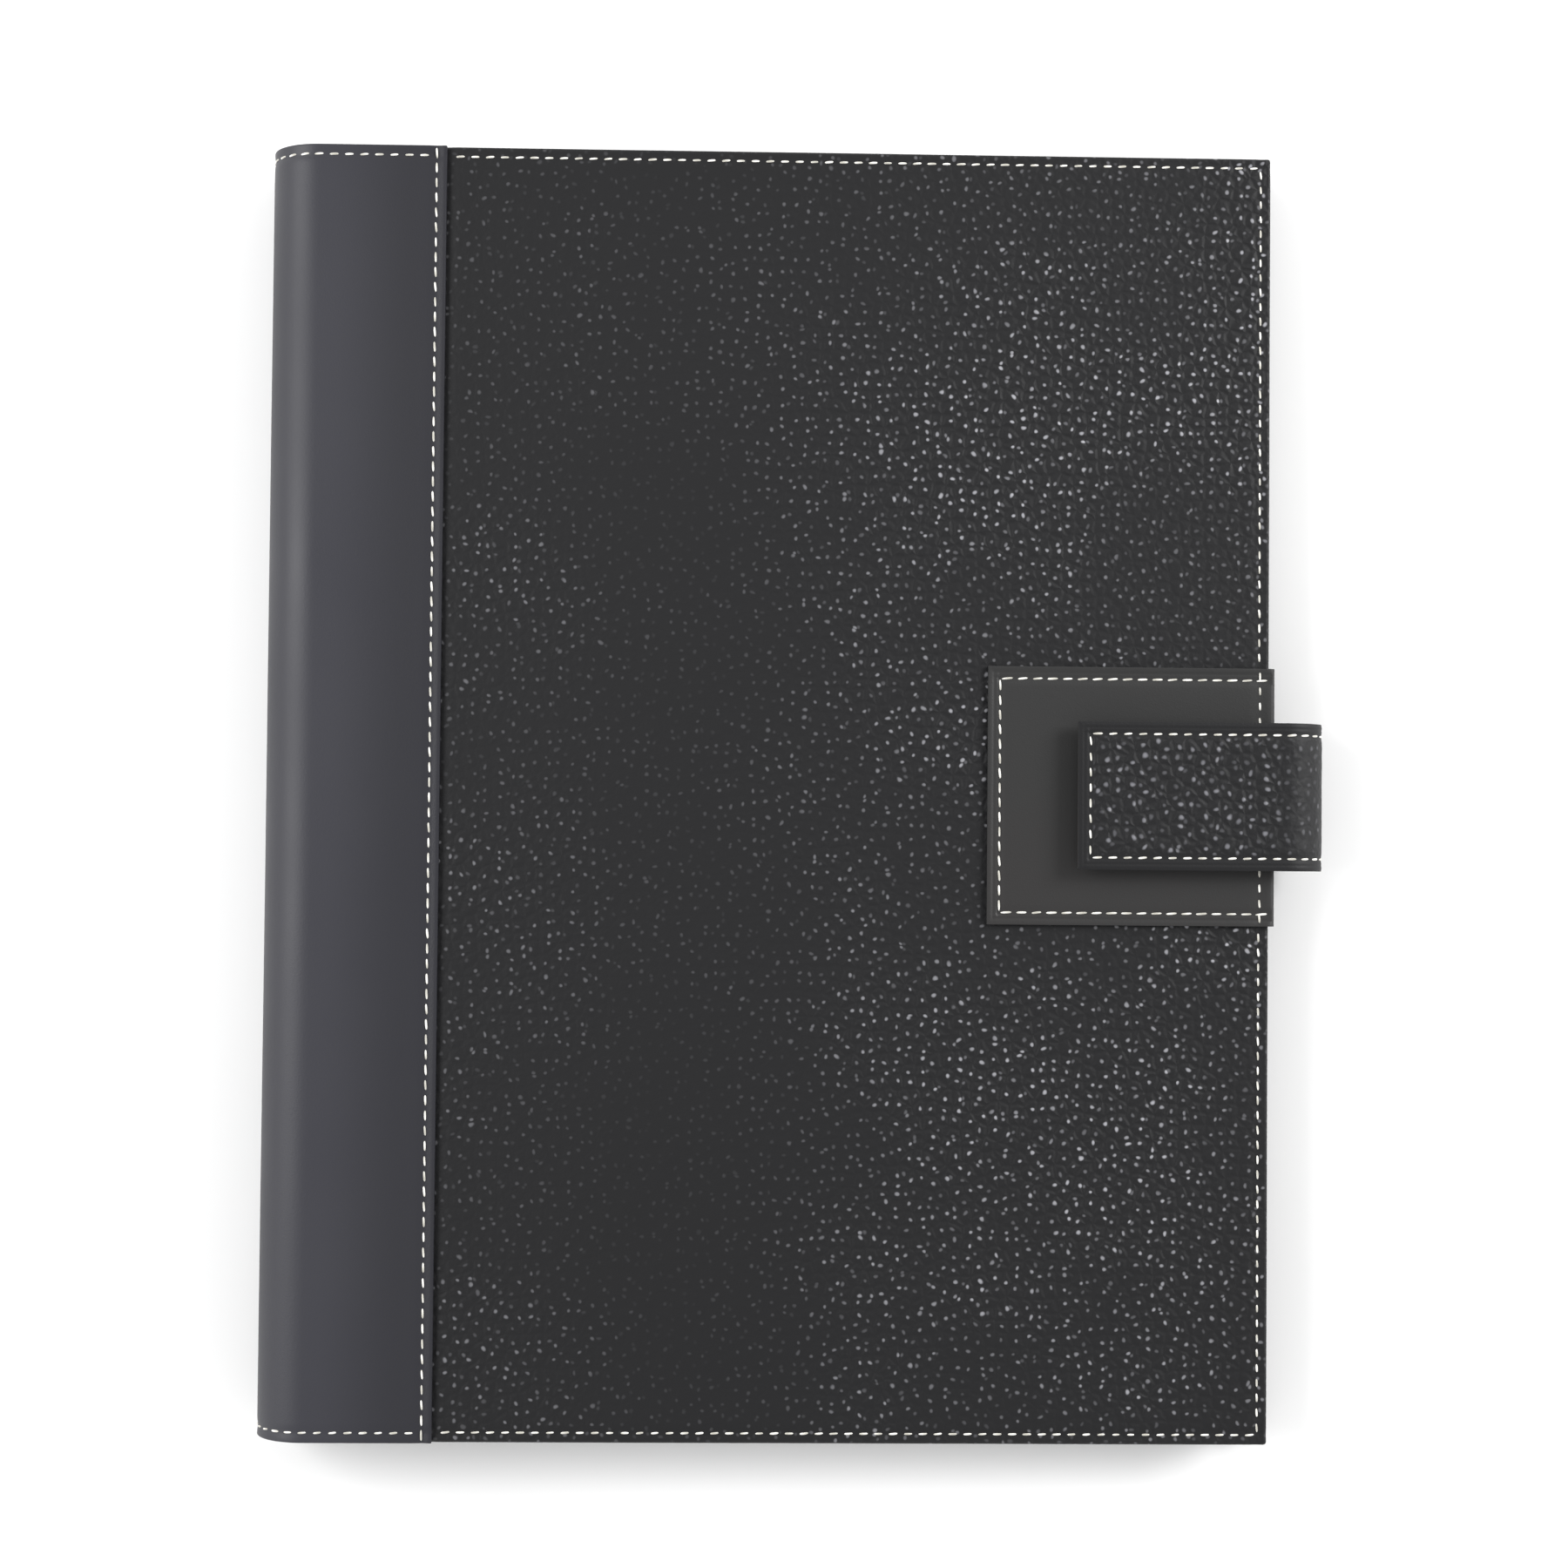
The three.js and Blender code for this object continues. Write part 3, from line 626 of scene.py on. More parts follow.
def makeSpineLeather():
    place, total, arc = spinePath(spine["radius"], cover["lapReach"])
    seam, lap, half = cover["stitchInset"], cover["lapReach"], cover["halfHeight"]
    edge = half - cover["stitchInset"]
    wide, fine, long = spine["lapStep"], spine["rowStep"], spine["longStep"]
    across = joinSteps(steps(0, lap, wide), steps(seam - wide, seam + wide, fine),
                       steps(lap, lap + arc, spine["rollStep"]), steps(lap + arc, total, wide),
                       steps(total - seam - wide, total - seam + wide, fine))
    along = joinSteps(steps(-half, -half + 5, fine), steps(-half + 5, half - 5, long),
                      steps(half - 5, half, fine))

    def shaped(u, y):
        fromSeam = min(abs(u - seam), abs(total - seam - u))
        lift = furrow(fromSeam, spine["furrow"]) + furrow(abs(y) - edge, spine["furrow"])
        lift += slack(u, y, 0.05)
        fromCut = min(u, total - u)
        lift += spine["cutLift"] * exp(-(fromCut / spine["cutWidth"]) ** 2)
        return place(u, y, lift)[0]
    leather = layGrid("spineLeather", across, along, shaped)
    thicken(leather, spine["leather"], 0.28)
    finishSpine(leather, ["spineLeatherBack", "spineLeatherRoll", "spineLeatherFront"], "smooth_leather",
                [["back_spine_lap", "spine_leather_1"], ["spine_leather_2"], ["front_spine_lap"]],
                "spineCalf")


# The spine leather is turned in over the boards' ends, beside the pebble leather's hem
def makeSpineTurnIns():
    half, (start, stop) = cover["halfHeight"], spine["turnIn"]
    for side, placeOn in (("front", frontPoint), ("back", backPoint)):
        ends = []
        for end in (-1, 1):
            ySpan = sorted((end * half, end * (half - cover["hem"])))
            top = levels["lap"] - spine["leather"] + spine["tuck"]
            fold = roundedSlab("fold", (start, ySpan[0], levels["boardLow"]), (stop, ySpan[1], top),
                               0.45, 3)
            unwrapSides(fold)
            for vertex in fold.data.vertices:
                vertex.co = placeOn(*[c / mm for c in vertex.co])
            if side == "back":
                fold.data.flip_normals()
            ends.append(fold)
        finishPiece(joinPieces(ends, f"{side}SpineTurnIns"), f"{side}_cover", "smooth_leather",
                    [f"{side}_spine_lap"])


def makeSpineLining():
    place, total = spinePath(spine["liningRadius"], spine["liningLap"])[:2]
    end = cover["halfHeight"] - 1
    cloth = layGrid("spineLining", joinSteps(steps(0, total, spine["rollStep"])), steps(-end, end, 4),
                    lambda u, y: place(u, y, slack(u, y, 0.05))[0])
    thicken(cloth, spine["lining"], 0.2)
    finishSpine(cloth, ["spineLiningBack", "spineLiningRoll", "spineLiningFront"], "lining",
                [["back_spine_lining", "spine_lining_1"], ["spine_lining_2"], ["front_spine_lining"]])


# The edge stitching crosses the spine leather at its head and tail, and a seam holds each lap
def sewSpine():
    place, total = spinePath(spine["radius"], cover["lapReach"])[:2]
    seam, half = cover["stitchInset"], cover["halfHeight"]
    edge = half - cover["stitchInset"]
    rows = [[], [], []]
    pitch = total / round(total / stitchSpec["pitch"])
    foldAt = [cover["lapReach"] + spine["radius"] * radians(a) for a in spine["folds"]]
    for end in (-edge, edge):
        for i in range(round(total / pitch)):
            u = (i + 0.5) * pitch
            if abs(u - seam) < 1 or abs(total - seam - u) < 1:
                continue
            point, out, way = place(u, end, -bentSunk)
            rows[sum(u > at for at in foldAt)].append((point, way, out))
    for n, places in enumerate(rows):
        sewRow(f"spineEndStitches{n + 1}", places, spineJoint(n), 20 + n)
    for side, placeOn, up in (("front", frontPoint, frontUp), ("back", backPoint, backUp)):
        at = cover["lapReach"] - seam
        places = stitchLine(placeOn, (at, half), (at, -half), levels["lap"] - sunk, up)
        sewRow(f"{side}SeamStitches", places, f"{side}_cover", 30, [f"{side}_seam_thread"],
               stitchSpec["tight"])


makeSpineLeather()
makeSpineTurnIns()
makeSpineLining()
sewSpine()
print("spine made")


# The patch under the strap, from its inner edge to the wall over the fore edge
patchSpec = {
    "start": 166.8, "wall": 238.3, "half": 32.0, "thick": 1.0, "corner": 1.1, "inset": 3.0,
    "furrow": 0.25, "rimStep": 0.3, "meshStep": 1.2,
}


# Pebble leather on both covers, its edges turned over the board
panel = {
    "thick": 0.95, "turn": 1.0, "pebble": 3.1, "deep": 0.1, "furrow": 0.18,
    "skive": 0.3, "skiveFrom": 33.4, "skiveFade": 1.4,   # pared thin where it runs under the lap
    "meshStep": 1.3, "underStep": 2.4, "rimStep": 0.75,
    "tongueGap": 18.8, "tongueRise": 0.4,   # the strap's tongue comes out of the back one's fore edge
    "stitchStart": 1.4, "patchGap": 1.0,
}


def pebbleHeight(x, y):
    near = noise.voronoi(Vector((x / panel["pebble"], y / panel["pebble"], 0.0)))[0]
    return panel["deep"] * (0.45 - near[0])


def layPanel(side, placeOn, patch):
    half, reach, lap = cover["halfHeight"], cover["reach"], cover["lapReach"]
    edge, foreEdge = half - cover["stitchInset"], reach - cover["stitchInset"]
    mirror = 1 if side == "front" else -1

    def surface(x, y):
        covered = patch and x > patchSpec["start"] - 1 and abs(y) < patch + 0.5
        lift = 0.0 if covered else pebbleHeight(x, y * mirror)
        lift *= max(0.0, min(1.0, (reach - x) / 2, (half - abs(y)) / 2))
        rows = furrow(abs(y) - edge, panel["furrow"]) if x > lap - 1.4 else 0
        lift += furrow(x - foreEdge, panel["furrow"]) + rows
        lift += slack(x, y + 7)
        hidden = max(0.0, min(1.0, (panel["skiveFrom"] - x) / panel["skiveFade"]))
        return placeOn(x, y, levels["grain"] + lift * (1 - hidden) - panel["skive"] * hidden)
    wide, fine = panel["meshStep"], panel["rimStep"]
    across = joinSteps(steps(cover["panelStart"], lap, panel["underStep"]),
                       steps(lap, reach - 6, wide), steps(reach - 6, reach, fine))
    along = joinSteps(steps(-half, -half + 6, fine), steps(-half + 6, half - 6, wide),
                      steps(half - 6, half, fine))
    return layGrid(f"{side}GrainLeather", across, [y * mirror for y in along], surface)


# Extrudes the free edges down the board's sides and in under it
def turnHem(sheet, side, placeOn):
    down = placeOn(0, 0, levels["boardLow"]) - placeOn(0, 0, levels["grain"])
    spineX = placeOn(cover["panelStart"], 0, levels["grain"] - panel["skive"]).x
    hemX = placeOn(cover["reach"] - cover["hem"], 0, levels["boardLow"]).x
    hemY = (cover["halfHeight"] - cover["hem"]) * mm
    climb = sin(slope) / cos(slope) if side == "front" else 0
    focus(sheet)
    bpy.ops.object.mode_set(mode="EDIT")
    bpy.ops.mesh.select_all(action="DESELECT")
    mesh = bmesh.from_edit_mesh(sheet.data)
    for rim in mesh.edges:
        rim.select = rim.is_boundary and not all(abs(v.co.x - spineX) < 0.3 * mm for v in rim.verts)
    bmesh.update_edit_mesh(sheet.data)
    bpy.ops.mesh.extrude_region_move(TRANSFORM_OT_translate={"value": down})
    bpy.ops.mesh.extrude_region_move(TRANSFORM_OT_translate={"value": (0, 0, 0)})
    mesh = bmesh.from_edit_mesh(sheet.data)
    for vertex in mesh.verts:
        if vertex.select:
            if vertex.co.x > hemX:
                rise = (vertex.co.x - hemX) * climb
                vertex.co = Vector((hemX, vertex.co.y, vertex.co.z + rise))
            vertex.co.y = max(-hemY, min(hemY, vertex.co.y))
    if side == "back":
        gap = panel["tongueGap"] * mm
        low = (cover["rollZ"] - levels["grain"] + panel["tongueRise"]) * mm
        middles = [(face, face.calc_center_median()) for face in mesh.faces]
        gone = [f for f, at in middles if abs(at.y) < gap and at.x > hemX - 1e-5 and at.z > low]
        bmesh.ops.delete(mesh, geom=gone, context="FACES")
    bmesh.ops.remove_doubles(mesh, verts=mesh.verts[:], dist=1e-6)
    mesh.normal_update()
    unrollHem(mesh, side)
    bmesh.update_edit_mesh(sheet.data)
    bpy.ops.object.mode_set(mode="OBJECT")


# The pattern runs on over the turned edge, as the leather does
def unrollHem(mesh, side):
    hide = mesh.loops.layers.uv["hide"]
    for face in mesh.faces:
        if onCover(face.calc_center_median(), side)[2] > levels["grain"] - 0.7:
            continue
        wall = max(range(3), key=lambda i: abs(face.normal[i]))
        for loop in face.loops:
            x, y, level = onCover(loop.vert.co, side)
            drop = levels["grain"] - level
            x += drop if wall == 0 else 0
            y += drop * (1 if y > 0 else -1) if wall == 1 else 0
            loop[hide].uv = (x * mm, y * mm)


# Stitches round the three free edges; on the front they climb over the patch
def sewEdges(side, placeOn, patch):
    up = frontUp if side == "front" else backUp
    level = levels["grain"] - sunk
    edge, foreEdge = cover["halfHeight"] - cover["stitchInset"], cover["reach"] - cover["stitchInset"]
    first = cover["lapReach"] + panel["stitchStart"]
    runs = [((first, edge), (foreEdge, edge), level), ((first, -edge), (foreEdge, -edge), level)]
    if patch:
        climb = patch + panel["patchGap"]
        runs += [((foreEdge, edge), (foreEdge, climb), level),
                 ((foreEdge, patch), (foreEdge, -patch), levels["patch"] - sunk),
                 ((foreEdge, -climb), (foreEdge, -edge), level)]
    else:
        runs += [((foreEdge, edge), (foreEdge, -edge), level)]
    places = [spot for start, end, high in runs for spot in stitchLine(placeOn, start, end, high, up)]
    sewRow(f"{side}EdgeStitches", places, f"{side}_cover", 40, [f"{side}_edge_thread"])


def makePanel(side, placeOn, patch):
    sheet = layPanel(side, placeOn, patch)
    turnHem(sheet, side, placeOn)
    applyModifier(sheet, "BEVEL", width=panel["turn"] * mm, segments=3, limit_method="ANGLE",
                  angle_limit=radians(60))
    applyModifier(sheet, "SOLIDIFY", thickness=panel["thick"] * mm, offset=-1)
    finishPiece(sheet, f"{side}_cover", "grain_leather", [f"{side}_panel"], smoothAngle=50)
    sewEdges(side, placeOn, patch)


makePanel("front", frontPoint, patchSpec["half"])
makePanel("back", backPoint, 0)
print("covers made")


def makePatch():
    start, wall, half = patchSpec["start"], patchSpec["wall"], patchSpec["half"]
    corner, inset = patchSpec["corner"], patchSpec["inset"]
    flat = wall - corner - start
    arc = corner * pi / 2
    drop = levels["patch"] - corner - levels["boardLow"]
    line, left = half - inset, start + inset

    def surface(u, y):
        x = start + u
        lift = furrow(abs(y) - line, patchSpec["furrow"]) if x > left - 0.5 else 0
        if abs(y) < line + 0.5:
            lift += furrow(x - start - inset, patchSpec["furrow"])
        lift += furrow(x - (cover["reach"] - cover["stitchInset"]), 0.15)
        rim = min(u, half - abs(y))
        lift += 0.1 * exp(-(rim / 1.0) ** 2) + crease(rim) + slack(x, y, 0.08)
        if u <= flat:
            return frontPoint(x, y, levels["patch"] + lift)
        if u <= flat + arc:
            turn = (u - flat) / corner
            return frontPoint(wall - corner + corner * sin(turn), y,
                              levels["patch"] - corner + corner * cos(turn))
        return frontPoint(wall, y, levels["patch"] - corner - (u - flat - arc))
    fine, wide = patchSpec["rimStep"], patchSpec["meshStep"]
    across = joinSteps(steps(0, 5, fine), steps(5, flat, wide), steps(flat, flat + arc, 0.4),
                       steps(flat + arc, flat + arc + drop, 1.0))
    along = joinSteps(steps(-half, -half + 5, fine), steps(-half + 5, half - 5, wide),
                      steps(half - 5, half, fine))
    leather = layGrid("snapPatch", across, along, surface)
    thicken(leather, patchSpec["thick"], 0.3)
    finishPiece(leather, "front_cover", "smooth_leather", ["snap_patch"])
    stop = wall - corner - 0.3   # both side rows run right to the fore edge
    level = levels["patch"] - bentSunk
    places = stitchLine(frontPoint, (stop, line), (left, line), level, frontUp)
    places += stitchLine(frontPoint, (left, line), (left, -line), level, frontUp)
    places += stitchLine(frontPoint, (left, -line), (stop, -line), level, frontUp)
    sewRow("patchStitches", places, "front_cover", 50, ["patch_thread"], stitchSpec["tight"])


makePatch()
print("patch made")


# Strap: pebble face and smooth lining, one band from the flap's tip round to the tongue
strap = {
    "tip": 188.7, "half": 18.25, "centre": (121.581, 12.738), "radius": 10.438, "leather": 0.9,
    "flapCentre": 240.472, "tongueEnd": 209.0, "inset": 3.0, "liningInward": 1.1,
    "folds": (61.29, 120.64),   # degrees round from the front cover's side
    "furrow": 0.22, "pebble": 1.2, "pebbleShift": 300,
    "rimStep": 0.3, "meshStep": 0.8, "bendStep": 0.7, "tongueStep": 1.2,
}


def strapPath(inward):
    radius = strap["radius"] - inward
    flat = strap["flapCentre"] - strap["tip"]
    arc = radius * (pi - slope)
    tongue = strap["centre"][0] - cover["rollX"] - strap["tongueEnd"]

    def place(u, y, lift=0.0):
        if u < flat:
            return (frontPoint(strap["tip"] + u, y, levels["strap"] - inward + lift), frontUp,
                    Vector((cos(slope), 0, -sin(slope))))
        if u < flat + arc:
            turn = slope + (u - flat) / radius
            out = Vector((sin(turn), 0, cos(turn)))
            middle = Vector((strap["centre"][0] * mm, y * mm, strap["centre"][1] * mm))
            return middle + out * (radius + lift) * mm, out, Vector((cos(turn), 0, -sin(turn)))
        x = strap["centre"][0] - (u - flat - arc)
        z = strap["centre"][1] - radius - lift
        return Vector((x * mm, y * mm, z * mm)), Vector((0, 0, -1)), Vector((-1, 0, 0))
    return place, flat, arc, tongue


strapBodies = ["strap_flap", "strap_strip_2", "strap_strip_1", "back_cover"]
strapCuts = [radians(a) for a in strap["folds"]]
strapEnds = [rollPoint(turn, strap["radius"], strap["centre"]) for turn in (slope, *strapCuts, pi)]


def strapJoint(n):
    return strapBodies[n + 1], strapBodies[n], strapEnds[n + 1], strapEnds[n]


def makeStrapBand(name, inward, slot, material, nodes):
    half, inset = strap["half"], strap["inset"]
    line = half - inset
    place, flat, arc, tongue = strapPath(inward)
    fine, wide = strap["rimStep"], strap["meshStep"]
    across = joinSteps(steps(0, 5, fine), steps(5, flat, wide),
                       steps(flat, flat + arc, strap["bendStep"]),
                       steps(flat + arc, flat + arc + tongue, strap["tongueStep"]))
    along = joinSteps(steps(-half, -half + 5, fine), steps(-half + 5, half - 5, wide),
                      steps(half - 5, half, fine))

    def surface(u, y):
        rim = min(u, half - abs(y))
        lift = 0.0
        if not inward:
            lift = furrow(abs(y) - line, strap["furrow"]) if u > inset - 0.5 else 0.0
            lift += furrow(u - inset, strap["furrow"]) if abs(y) < line + 0.5 else 0.0
            inner = max(0.0, min(1.0, (rim - inset - 0.4) / 1.0))
            lift += inner * strap["pebble"] * pebbleHeight(u + strap["pebbleShift"], y)
            lift += crease(rim, 1.4) - 0.16 * exp(-(rim / 0.7) ** 2)
        return place(u, y, lift)[0]
    band = layGrid(name, across, along, surface)
    thicken(band, strap["leather"], 0.25)
    for n, part in enumerate(cutAtFolds(band, strap["centre"], strapCuts, -1)):
        part.name = name + ("Flap", "Bend", "Tongue")[n]
        finishPiece(part, strapJoint(n), slot, nodes[n], material)


def sewStrap():
    inset = strap["inset"]
    line = strap["half"] - inset
    place, flat, arc = strapPath(0.0)[:3]
    foldAt = [flat + strap["radius"] * (a - slope) for a in strapCuts]
    rows = [[], [], []]
    length = flat + arc - inset
    count = round(length / stitchSpec["pitch"])
    for y in (-line, line):
        for i in range(count):
            u = inset + (i + 0.5) * length / count
            point, out, way = place(u, y, -bentSunk)
            rows[sum(u > at for at in foldAt)].append((point, way, out))
    across = round(2 * line / stitchSpec["pitch"])
    for i in range(across):
        point, out, way = place(inset, line - (i + 0.5) * 2 * line / across, -bentSunk)
        rows[0].append((point, Vector((0, -1, 0)), out))
    for n, places in enumerate(rows):
        sewRow(f"strapStitches{n + 1}", places, strapJoint(n), 60 + n,
               ["strap_thread"] if n == 0 else [])


def makeStrap():
    makeStrapBand("strapFace", 0.0, "grain_leather", "strapGrain",
                  [["strap_flap_face"], ["strap_face_2"], ["strap_face_1", "strap_tongue_face"]])
    makeStrapBand("strapLining", strap["liningInward"], "smooth_leather", None,
                  [["strap_flap_lining"], ["strap_lining_2"],
                   ["strap_lining_1", "strap_tongue_lining"]])
    sewStrap()


makeStrap()
print("strap made")


# Snap: lathed rings, each given by the radius and level of its corners; a pin-hole stands for a
# centre point
snap = {
    "at": 208.5, "sides": 48, "rim": 0.18,
    "socket": [(0.05, 10.7), (2.0, 10.7), (2.0, 13.3), (8.0, 13.3), (8.0, 15.3), (7.5, 15.3),
               (7.5, 13.8), (0.05, 13.8), (0.05, 10.7)],
    "magnet": [(3.2, 14.0), (7.3, 14.0), (7.3, 15.25), (3.2, 15.25), (3.2, 14.0)],
    "stud": [(0.05, 14.1), (2.0, 14.1), (2.4, 14.6), (2.4, 15.5), (6.3, 15.5), (6.5, 15.8),
             (6.2, 16.1), (1.8, 16.1), (1.8, 17.2), (0.05, 17.2), (0.05, 14.1)],
}


def turnRing(name, profile, body, slot, node):
    startFresh()
    bpy.ops.mesh.primitive_circle_add(vertices=snap["sides"], radius=profile[0][0] * mm,
                                      fill_type="NOTHING", location=(0, 0, profile[0][1] * mm))
    ring = bpy.context.object
    ring.name = name
    bpy.ops.object.transform_apply(location=True)
    bpy.ops.object.mode_set(mode="EDIT")
    bpy.ops.mesh.select_all(action="SELECT")
    for (r0, z0), (r1, z1) in zip(profile, profile[1:]):
        bpy.ops.mesh.extrude_region_move(TRANSFORM_OT_translate={"value": (0, 0, (z1 - z0) * mm)})
        if r1 != r0:
            bpy.ops.transform.resize(value=(r1 / r0, r1 / r0, 1), center_override=(0, 0, z1 * mm))
    bpy.ops.mesh.select_all(action="SELECT")
    bpy.ops.mesh.remove_doubles(threshold=1e-6)
    bpy.ops.mesh.normals_make_consistent(inside=False)
    bpy.ops.object.mode_set(mode="OBJECT")
    applyModifier(ring, "BEVEL", width=snap["rim"] * mm, segments=3, limit_method="ANGLE",
                  angle_limit=radians(40))
    lean = Matrix.Rotation(slope, 4, "Y")
    ring.data.transform(Matrix.Translation(frontPoint(snap["at"], 0, 0)) @ lean)
    return finishPiece(ring, body, slot, [node], smoothAngle=40)


turnRing("snapSocket", snap["socket"], "front_cover", "nickel", "snap_socket")
turnRing("snapMagnet", snap["magnet"], "front_cover", "magnet", "snap_magnet")
turnRing("snapStud", snap["stud"], "strap_flap", "nickel", "snap_stud")
print("snap made")


# Inside: linings, pockets, sleeve, pen loop and the refill pad
inside = {
    "liningStart": 0.5, "liningMargin": 1, "thick": 0.8, "step": 4.0, "rim": 0.18,
    "pocketX": (14, 233), "pocketY": (-156, 95), "thumbCut": 12,
    "cardX": (30, 126), "cardFoot": -140, "cardHeights": (82, 68, 54), "cardThick": 0.7,
    "cardDrop": 0.9,
    "rowInset": 3, "pocketRow": (91.5, 6.86), "thumbClear": 13.5,   # a row's y and level
    "cardRow": (-137, 4.16), "cardRowTop": -89,
}


# Top is the sheet's outer face as a level of its cover
def flatSheet(name, xSpan, ySpan, top, placeOn, body, slot, node, thick=0.8, wave=0.05, cut=0):
    across = joinSteps(steps(*xSpan, inside["step"]))
    along = joinSteps(steps(*ySpan, inside["step"]))
    if placeOn is backPoint:
        along = along[::-1]
    sheet = layGrid(name, across, along, lambda x, y: placeOn(x, y, top + slack(x, y, wave)))
    applyModifier(sheet, "SOLIDIFY", thickness=thick * mm, offset=-1)
    if cut:   # a round thumb cut in the middle of the opening
        startFresh()
        bpy.ops.mesh.primitive_cylinder_add(vertices=64, radius=cut * mm, depth=0.02,
                                            location=placeOn(sum(xSpan) / 2, ySpan[1], top))
        tool = bpy.context.object
        applyModifier(sheet, "BOOLEAN", object=tool, operation="DIFFERENCE", solver="EXACT")
        bpy.data.objects.remove(tool)
    applyModifier(sheet, "BEVEL", width=inside["rim"] * mm, segments=2, limit_method="ANGLE",
                  angle_limit=radians(60))
    return finishPiece(sheet, body, slot, [node])


def makeLinings():
    xSpan = (inside["liningStart"], cover["reach"] - inside["liningMargin"])
    end = cover["halfHeight"] - inside["liningMargin"]
    for side, placeOn in (("front", frontPoint), ("back", backPoint)):
        flatSheet(f"{side}Lining", xSpan, (-end, end), levels["lining"], placeOn, f"{side}_cover",
                  "lining", f"{side}_lining", inside["thick"])


def makePockets():
    flatSheet("documentPocket", inside["pocketX"], inside["pocketY"], levels["pocket"], frontPoint,
              "front_cover", "lining", "document_pocket", inside["thick"], 0.04, inside["thumbCut"])
    foot = inside["cardFoot"]
    for n, high in enumerate(inside["cardHeights"]):
        flatSheet(f"cardPocket{n + 1}", inside["cardX"], (foot, foot + high),
                  levels["cards"] - inside["cardDrop"] * n, frontPoint, "front_cover",
                  "smooth_leather", f"card_pocket_{n + 1}", inside["cardThick"], 0.03)


# Flat stitches along the pockets' edges, low enough to clear the pad
def sewPockets():
    gap, (left, right) = inside["rowInset"], inside["pocketX"]
    middle, clear = (left + right) / 2, inside["thumbClear"]
    y, level = inside["pocketRow"]
    runs = [((left + gap, y), (middle - clear, y), level),
            ((middle + clear, y), (right - gap, y), level)]
    near, far = inside["cardX"][0] + gap, inside["cardX"][1] - gap
    y, level = inside["cardRow"]
    runs += [((x, y + 0.5), (x, inside["cardRowTop"]), level) for x in (near, far)]
    runs += [((near, y), (far, y), level)]
    places = [spot for start, end, high in runs
              for spot in stitchLine(frontPoint, start, end, high, -frontUp)]
    sewRow("pocketStitches", places, "front_cover", 70)


# Sleeve for the pad's card, open at its head, in millimetres from the roll's middle and the table
sleeveSpec = {
    "x": (17.7, 234.3), "y": (-151.8, 20.0), "z": (5.5, 7.3), "side": 3, "roof": 0.8, "rim": 0.35,
}


def makeSleeve():
    left, right = [cover["rollX"] + x for x in sleeveSpec["x"]]
    (low, high), (bottom, top), side = sleeveSpec["y"], sleeveSpec["z"], sleeveSpec["side"]
    sleeve = roundedSlab("padSleeve", (left, low, bottom), (right, high, top), sleeveSpec["rim"], 3)
    inner = roundedSlab("inner", (left + side, low + side, bottom - 0.5),
                        (right - side, high + 1, top - sleeveSpec["roof"]))
    applyModifier(sleeve, "BOOLEAN", object=inner, operation="DIFFERENCE", solver="EXACT")
    bpy.data.objects.remove(inner)
    unwrapSides(sleeve)
    finishPiece(sleeve, "back_cover", "lining", ["pad_sleeve"])


makeLinings()
makePockets()
sewPockets()
makeSleeve()

padSpec = {
    "x": (21, 231), "half": 148.5, "card": (5.5, 6.3), "paper": (7.5, 11.5), "sheets": 16,
    "gap": 0.14, "stray": 0.12,   # each sheet lies a little out of line
}


def makePad():
    left, right = [cover["rollX"] + x for x in padSpec["x"]]
    half, stray = padSpec["half"], padSpec["stray"]
    low, high = padSpec["card"]
    card = roundedSlab("padCard", (left, -half, low), (right, half, high), 0.15)
    finishPiece(card, "pad", "card", ["pad_card"])
    draw = random.Random(7)
    low, high = padSpec["paper"]
    thick = (high - low) / padSpec["sheets"]
    sheets = []
    for n in range(padSpec["sheets"]):
        x, y = draw.uniform(-stray, 0.0), draw.uniform(-stray, stray)
        sheets.append(roundedSlab("padSheet", (left + 0.1, -half + 0.15 + y, low + n * thick),
                                  (right + x, half - 0.2, low + (n + 1 - padSpec["gap"]) * thick)))
    finishPiece(joinPieces(sheets, "padPaper"), "pad", "paper", ["pad_paper"])


makePad()

penLoopSpec = {"wide": 7.0, "high": 6.0, "wall": 1.0, "fromRoll": 9.1, "foot": 5.5, "y": (32.5, 57.5)}


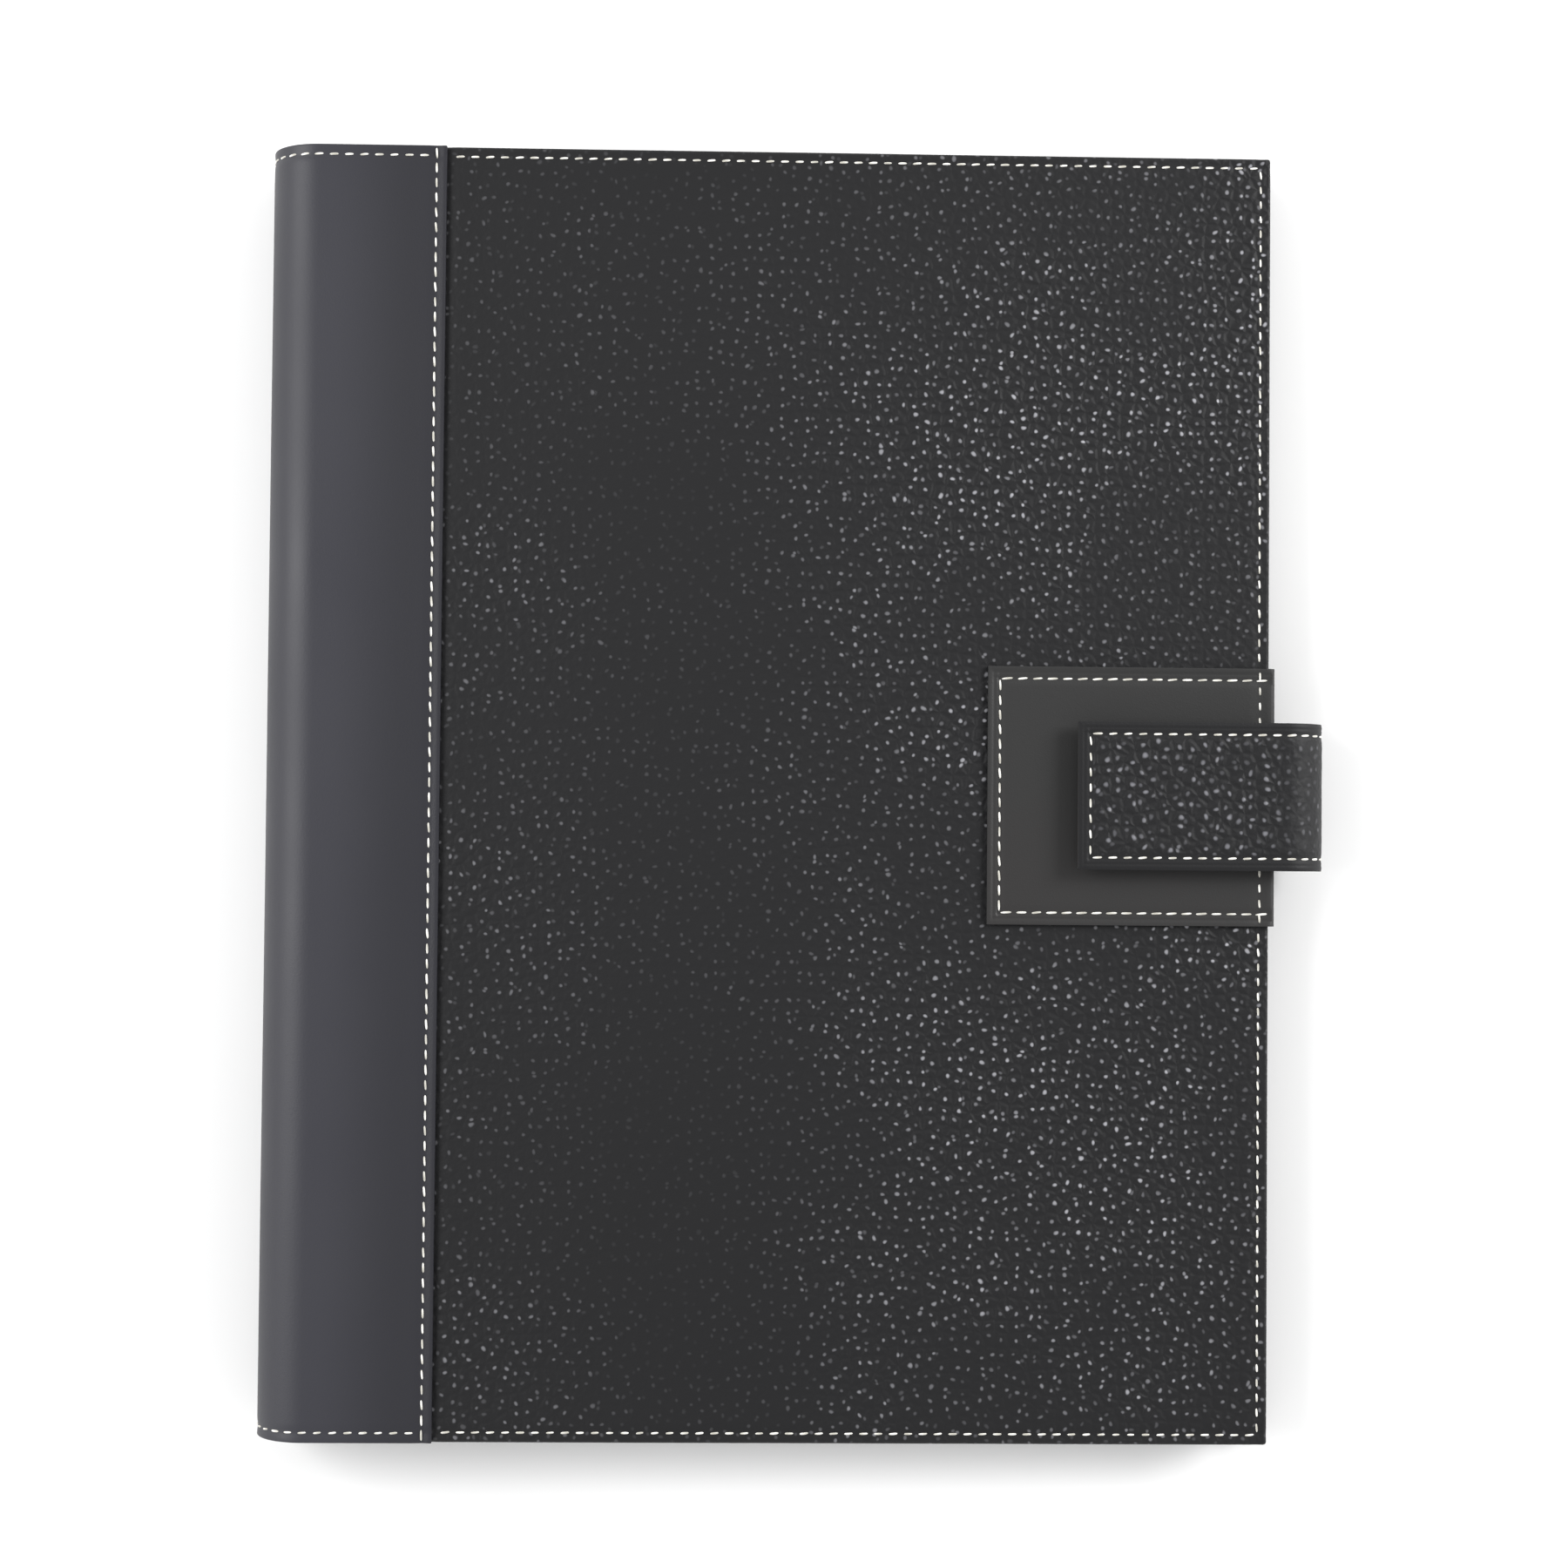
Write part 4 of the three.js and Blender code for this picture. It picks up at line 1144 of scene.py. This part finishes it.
def makePenLoop():
    wide, high = penLoopSpec["wide"], penLoopSpec["high"]
    middle = (cover["rollX"] + penLoopSpec["fromRoll"], penLoopSpec["foot"] + high)
    length = pi * (wide + high)

    def surface(u, y):
        turn = 2 * pi * u / length + pi
        return Vector(((middle[0] + wide * sin(turn)) * mm, y * mm,
                       (middle[1] + high * cos(turn)) * mm))
    loop = layGrid("penLoop", steps(0, length, 0.8), steps(*penLoopSpec["y"], 1.6), surface)
    focus(loop)
    bpy.ops.object.mode_set(mode="EDIT")
    bpy.ops.mesh.select_all(action="SELECT")
    bpy.ops.mesh.remove_doubles(threshold=1e-6)
    bpy.ops.object.mode_set(mode="OBJECT")
    thicken(loop, penLoopSpec["wall"], 0.25)
    finishPiece(loop, "back_cover", "elastic", ["pen_loop"])


makePenLoop()
print("inside made")

# Nodes that keep their shape get their finishes
kept = {
    "board": ["back_board", "front_board", "back_spine_filler", "front_spine_filler"],
    "nickel": ["snap_stud_plate", "snap_socket_plate"],
    "tape": ["pad_tape"],
}
for finish, names in kept.items():
    for name in names:
        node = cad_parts[name]
        node.data.materials.clear()
        node.data.materials.append(materials[finish])
bpy.data.objects.remove(stitchMaster)

# Floor and light; the air is brighter round the sides than overhead, as between two tall soft boxes
studio = {"floor": 3.0, "floorDrop": 0.0005, "air": "#ffffff", "overhead": 0.36, "around": 1.35}
startFresh()
bpy.ops.mesh.primitive_plane_add(size=studio["floor"], location=(0, 0, -studio["floorDrop"]))
floorPlane = bpy.context.object
floorPlane.name = "floor"
floorMaterial, floorTree, floorShader = newMaterial("mattWhiteBoard", Roughness=0.95)
floorShader.inputs["Base Color"].default_value = linearColour("#f7f7f7")
floorPlane.data.materials.append(floorMaterial)

world = bpy.data.worlds.new("studioAir")
bpy.context.scene.world = world
world.use_nodes = True
world.node_tree.nodes["Background"].inputs[0].default_value = linearColour(studio["air"])
toSky = addNode(world.node_tree, "ShaderNodeTexCoord").outputs["Generated"]
height = addNode(world.node_tree, "ShaderNodeSeparateXYZ", None, i0=toSky).outputs[2]
glow = remap(world.node_tree, height, 0.95, 0.35, studio["overhead"], studio["around"])
world.node_tree.links.new(glow, world.node_tree.nodes["Background"].inputs[1])


def softLight(name, place, aim, size, power):
    startFresh()
    bpy.ops.object.light_add(type="AREA", location=place)
    lamp = bpy.context.object
    lamp.name = name
    lamp.data.size = size
    lamp.data.energy = power
    lamp.rotation_euler = (Vector(aim) - Vector(place)).to_track_quat("-Z", "Y").to_euler()


softLight("softLeft", (-1.0, 0.2, 0.9), (0, 0, 0), 0.8, 12)
softLight("softRight", (1.1, 0.5, 0.8), (0.05, 0, 0), 0.6, 14)
print("light set")
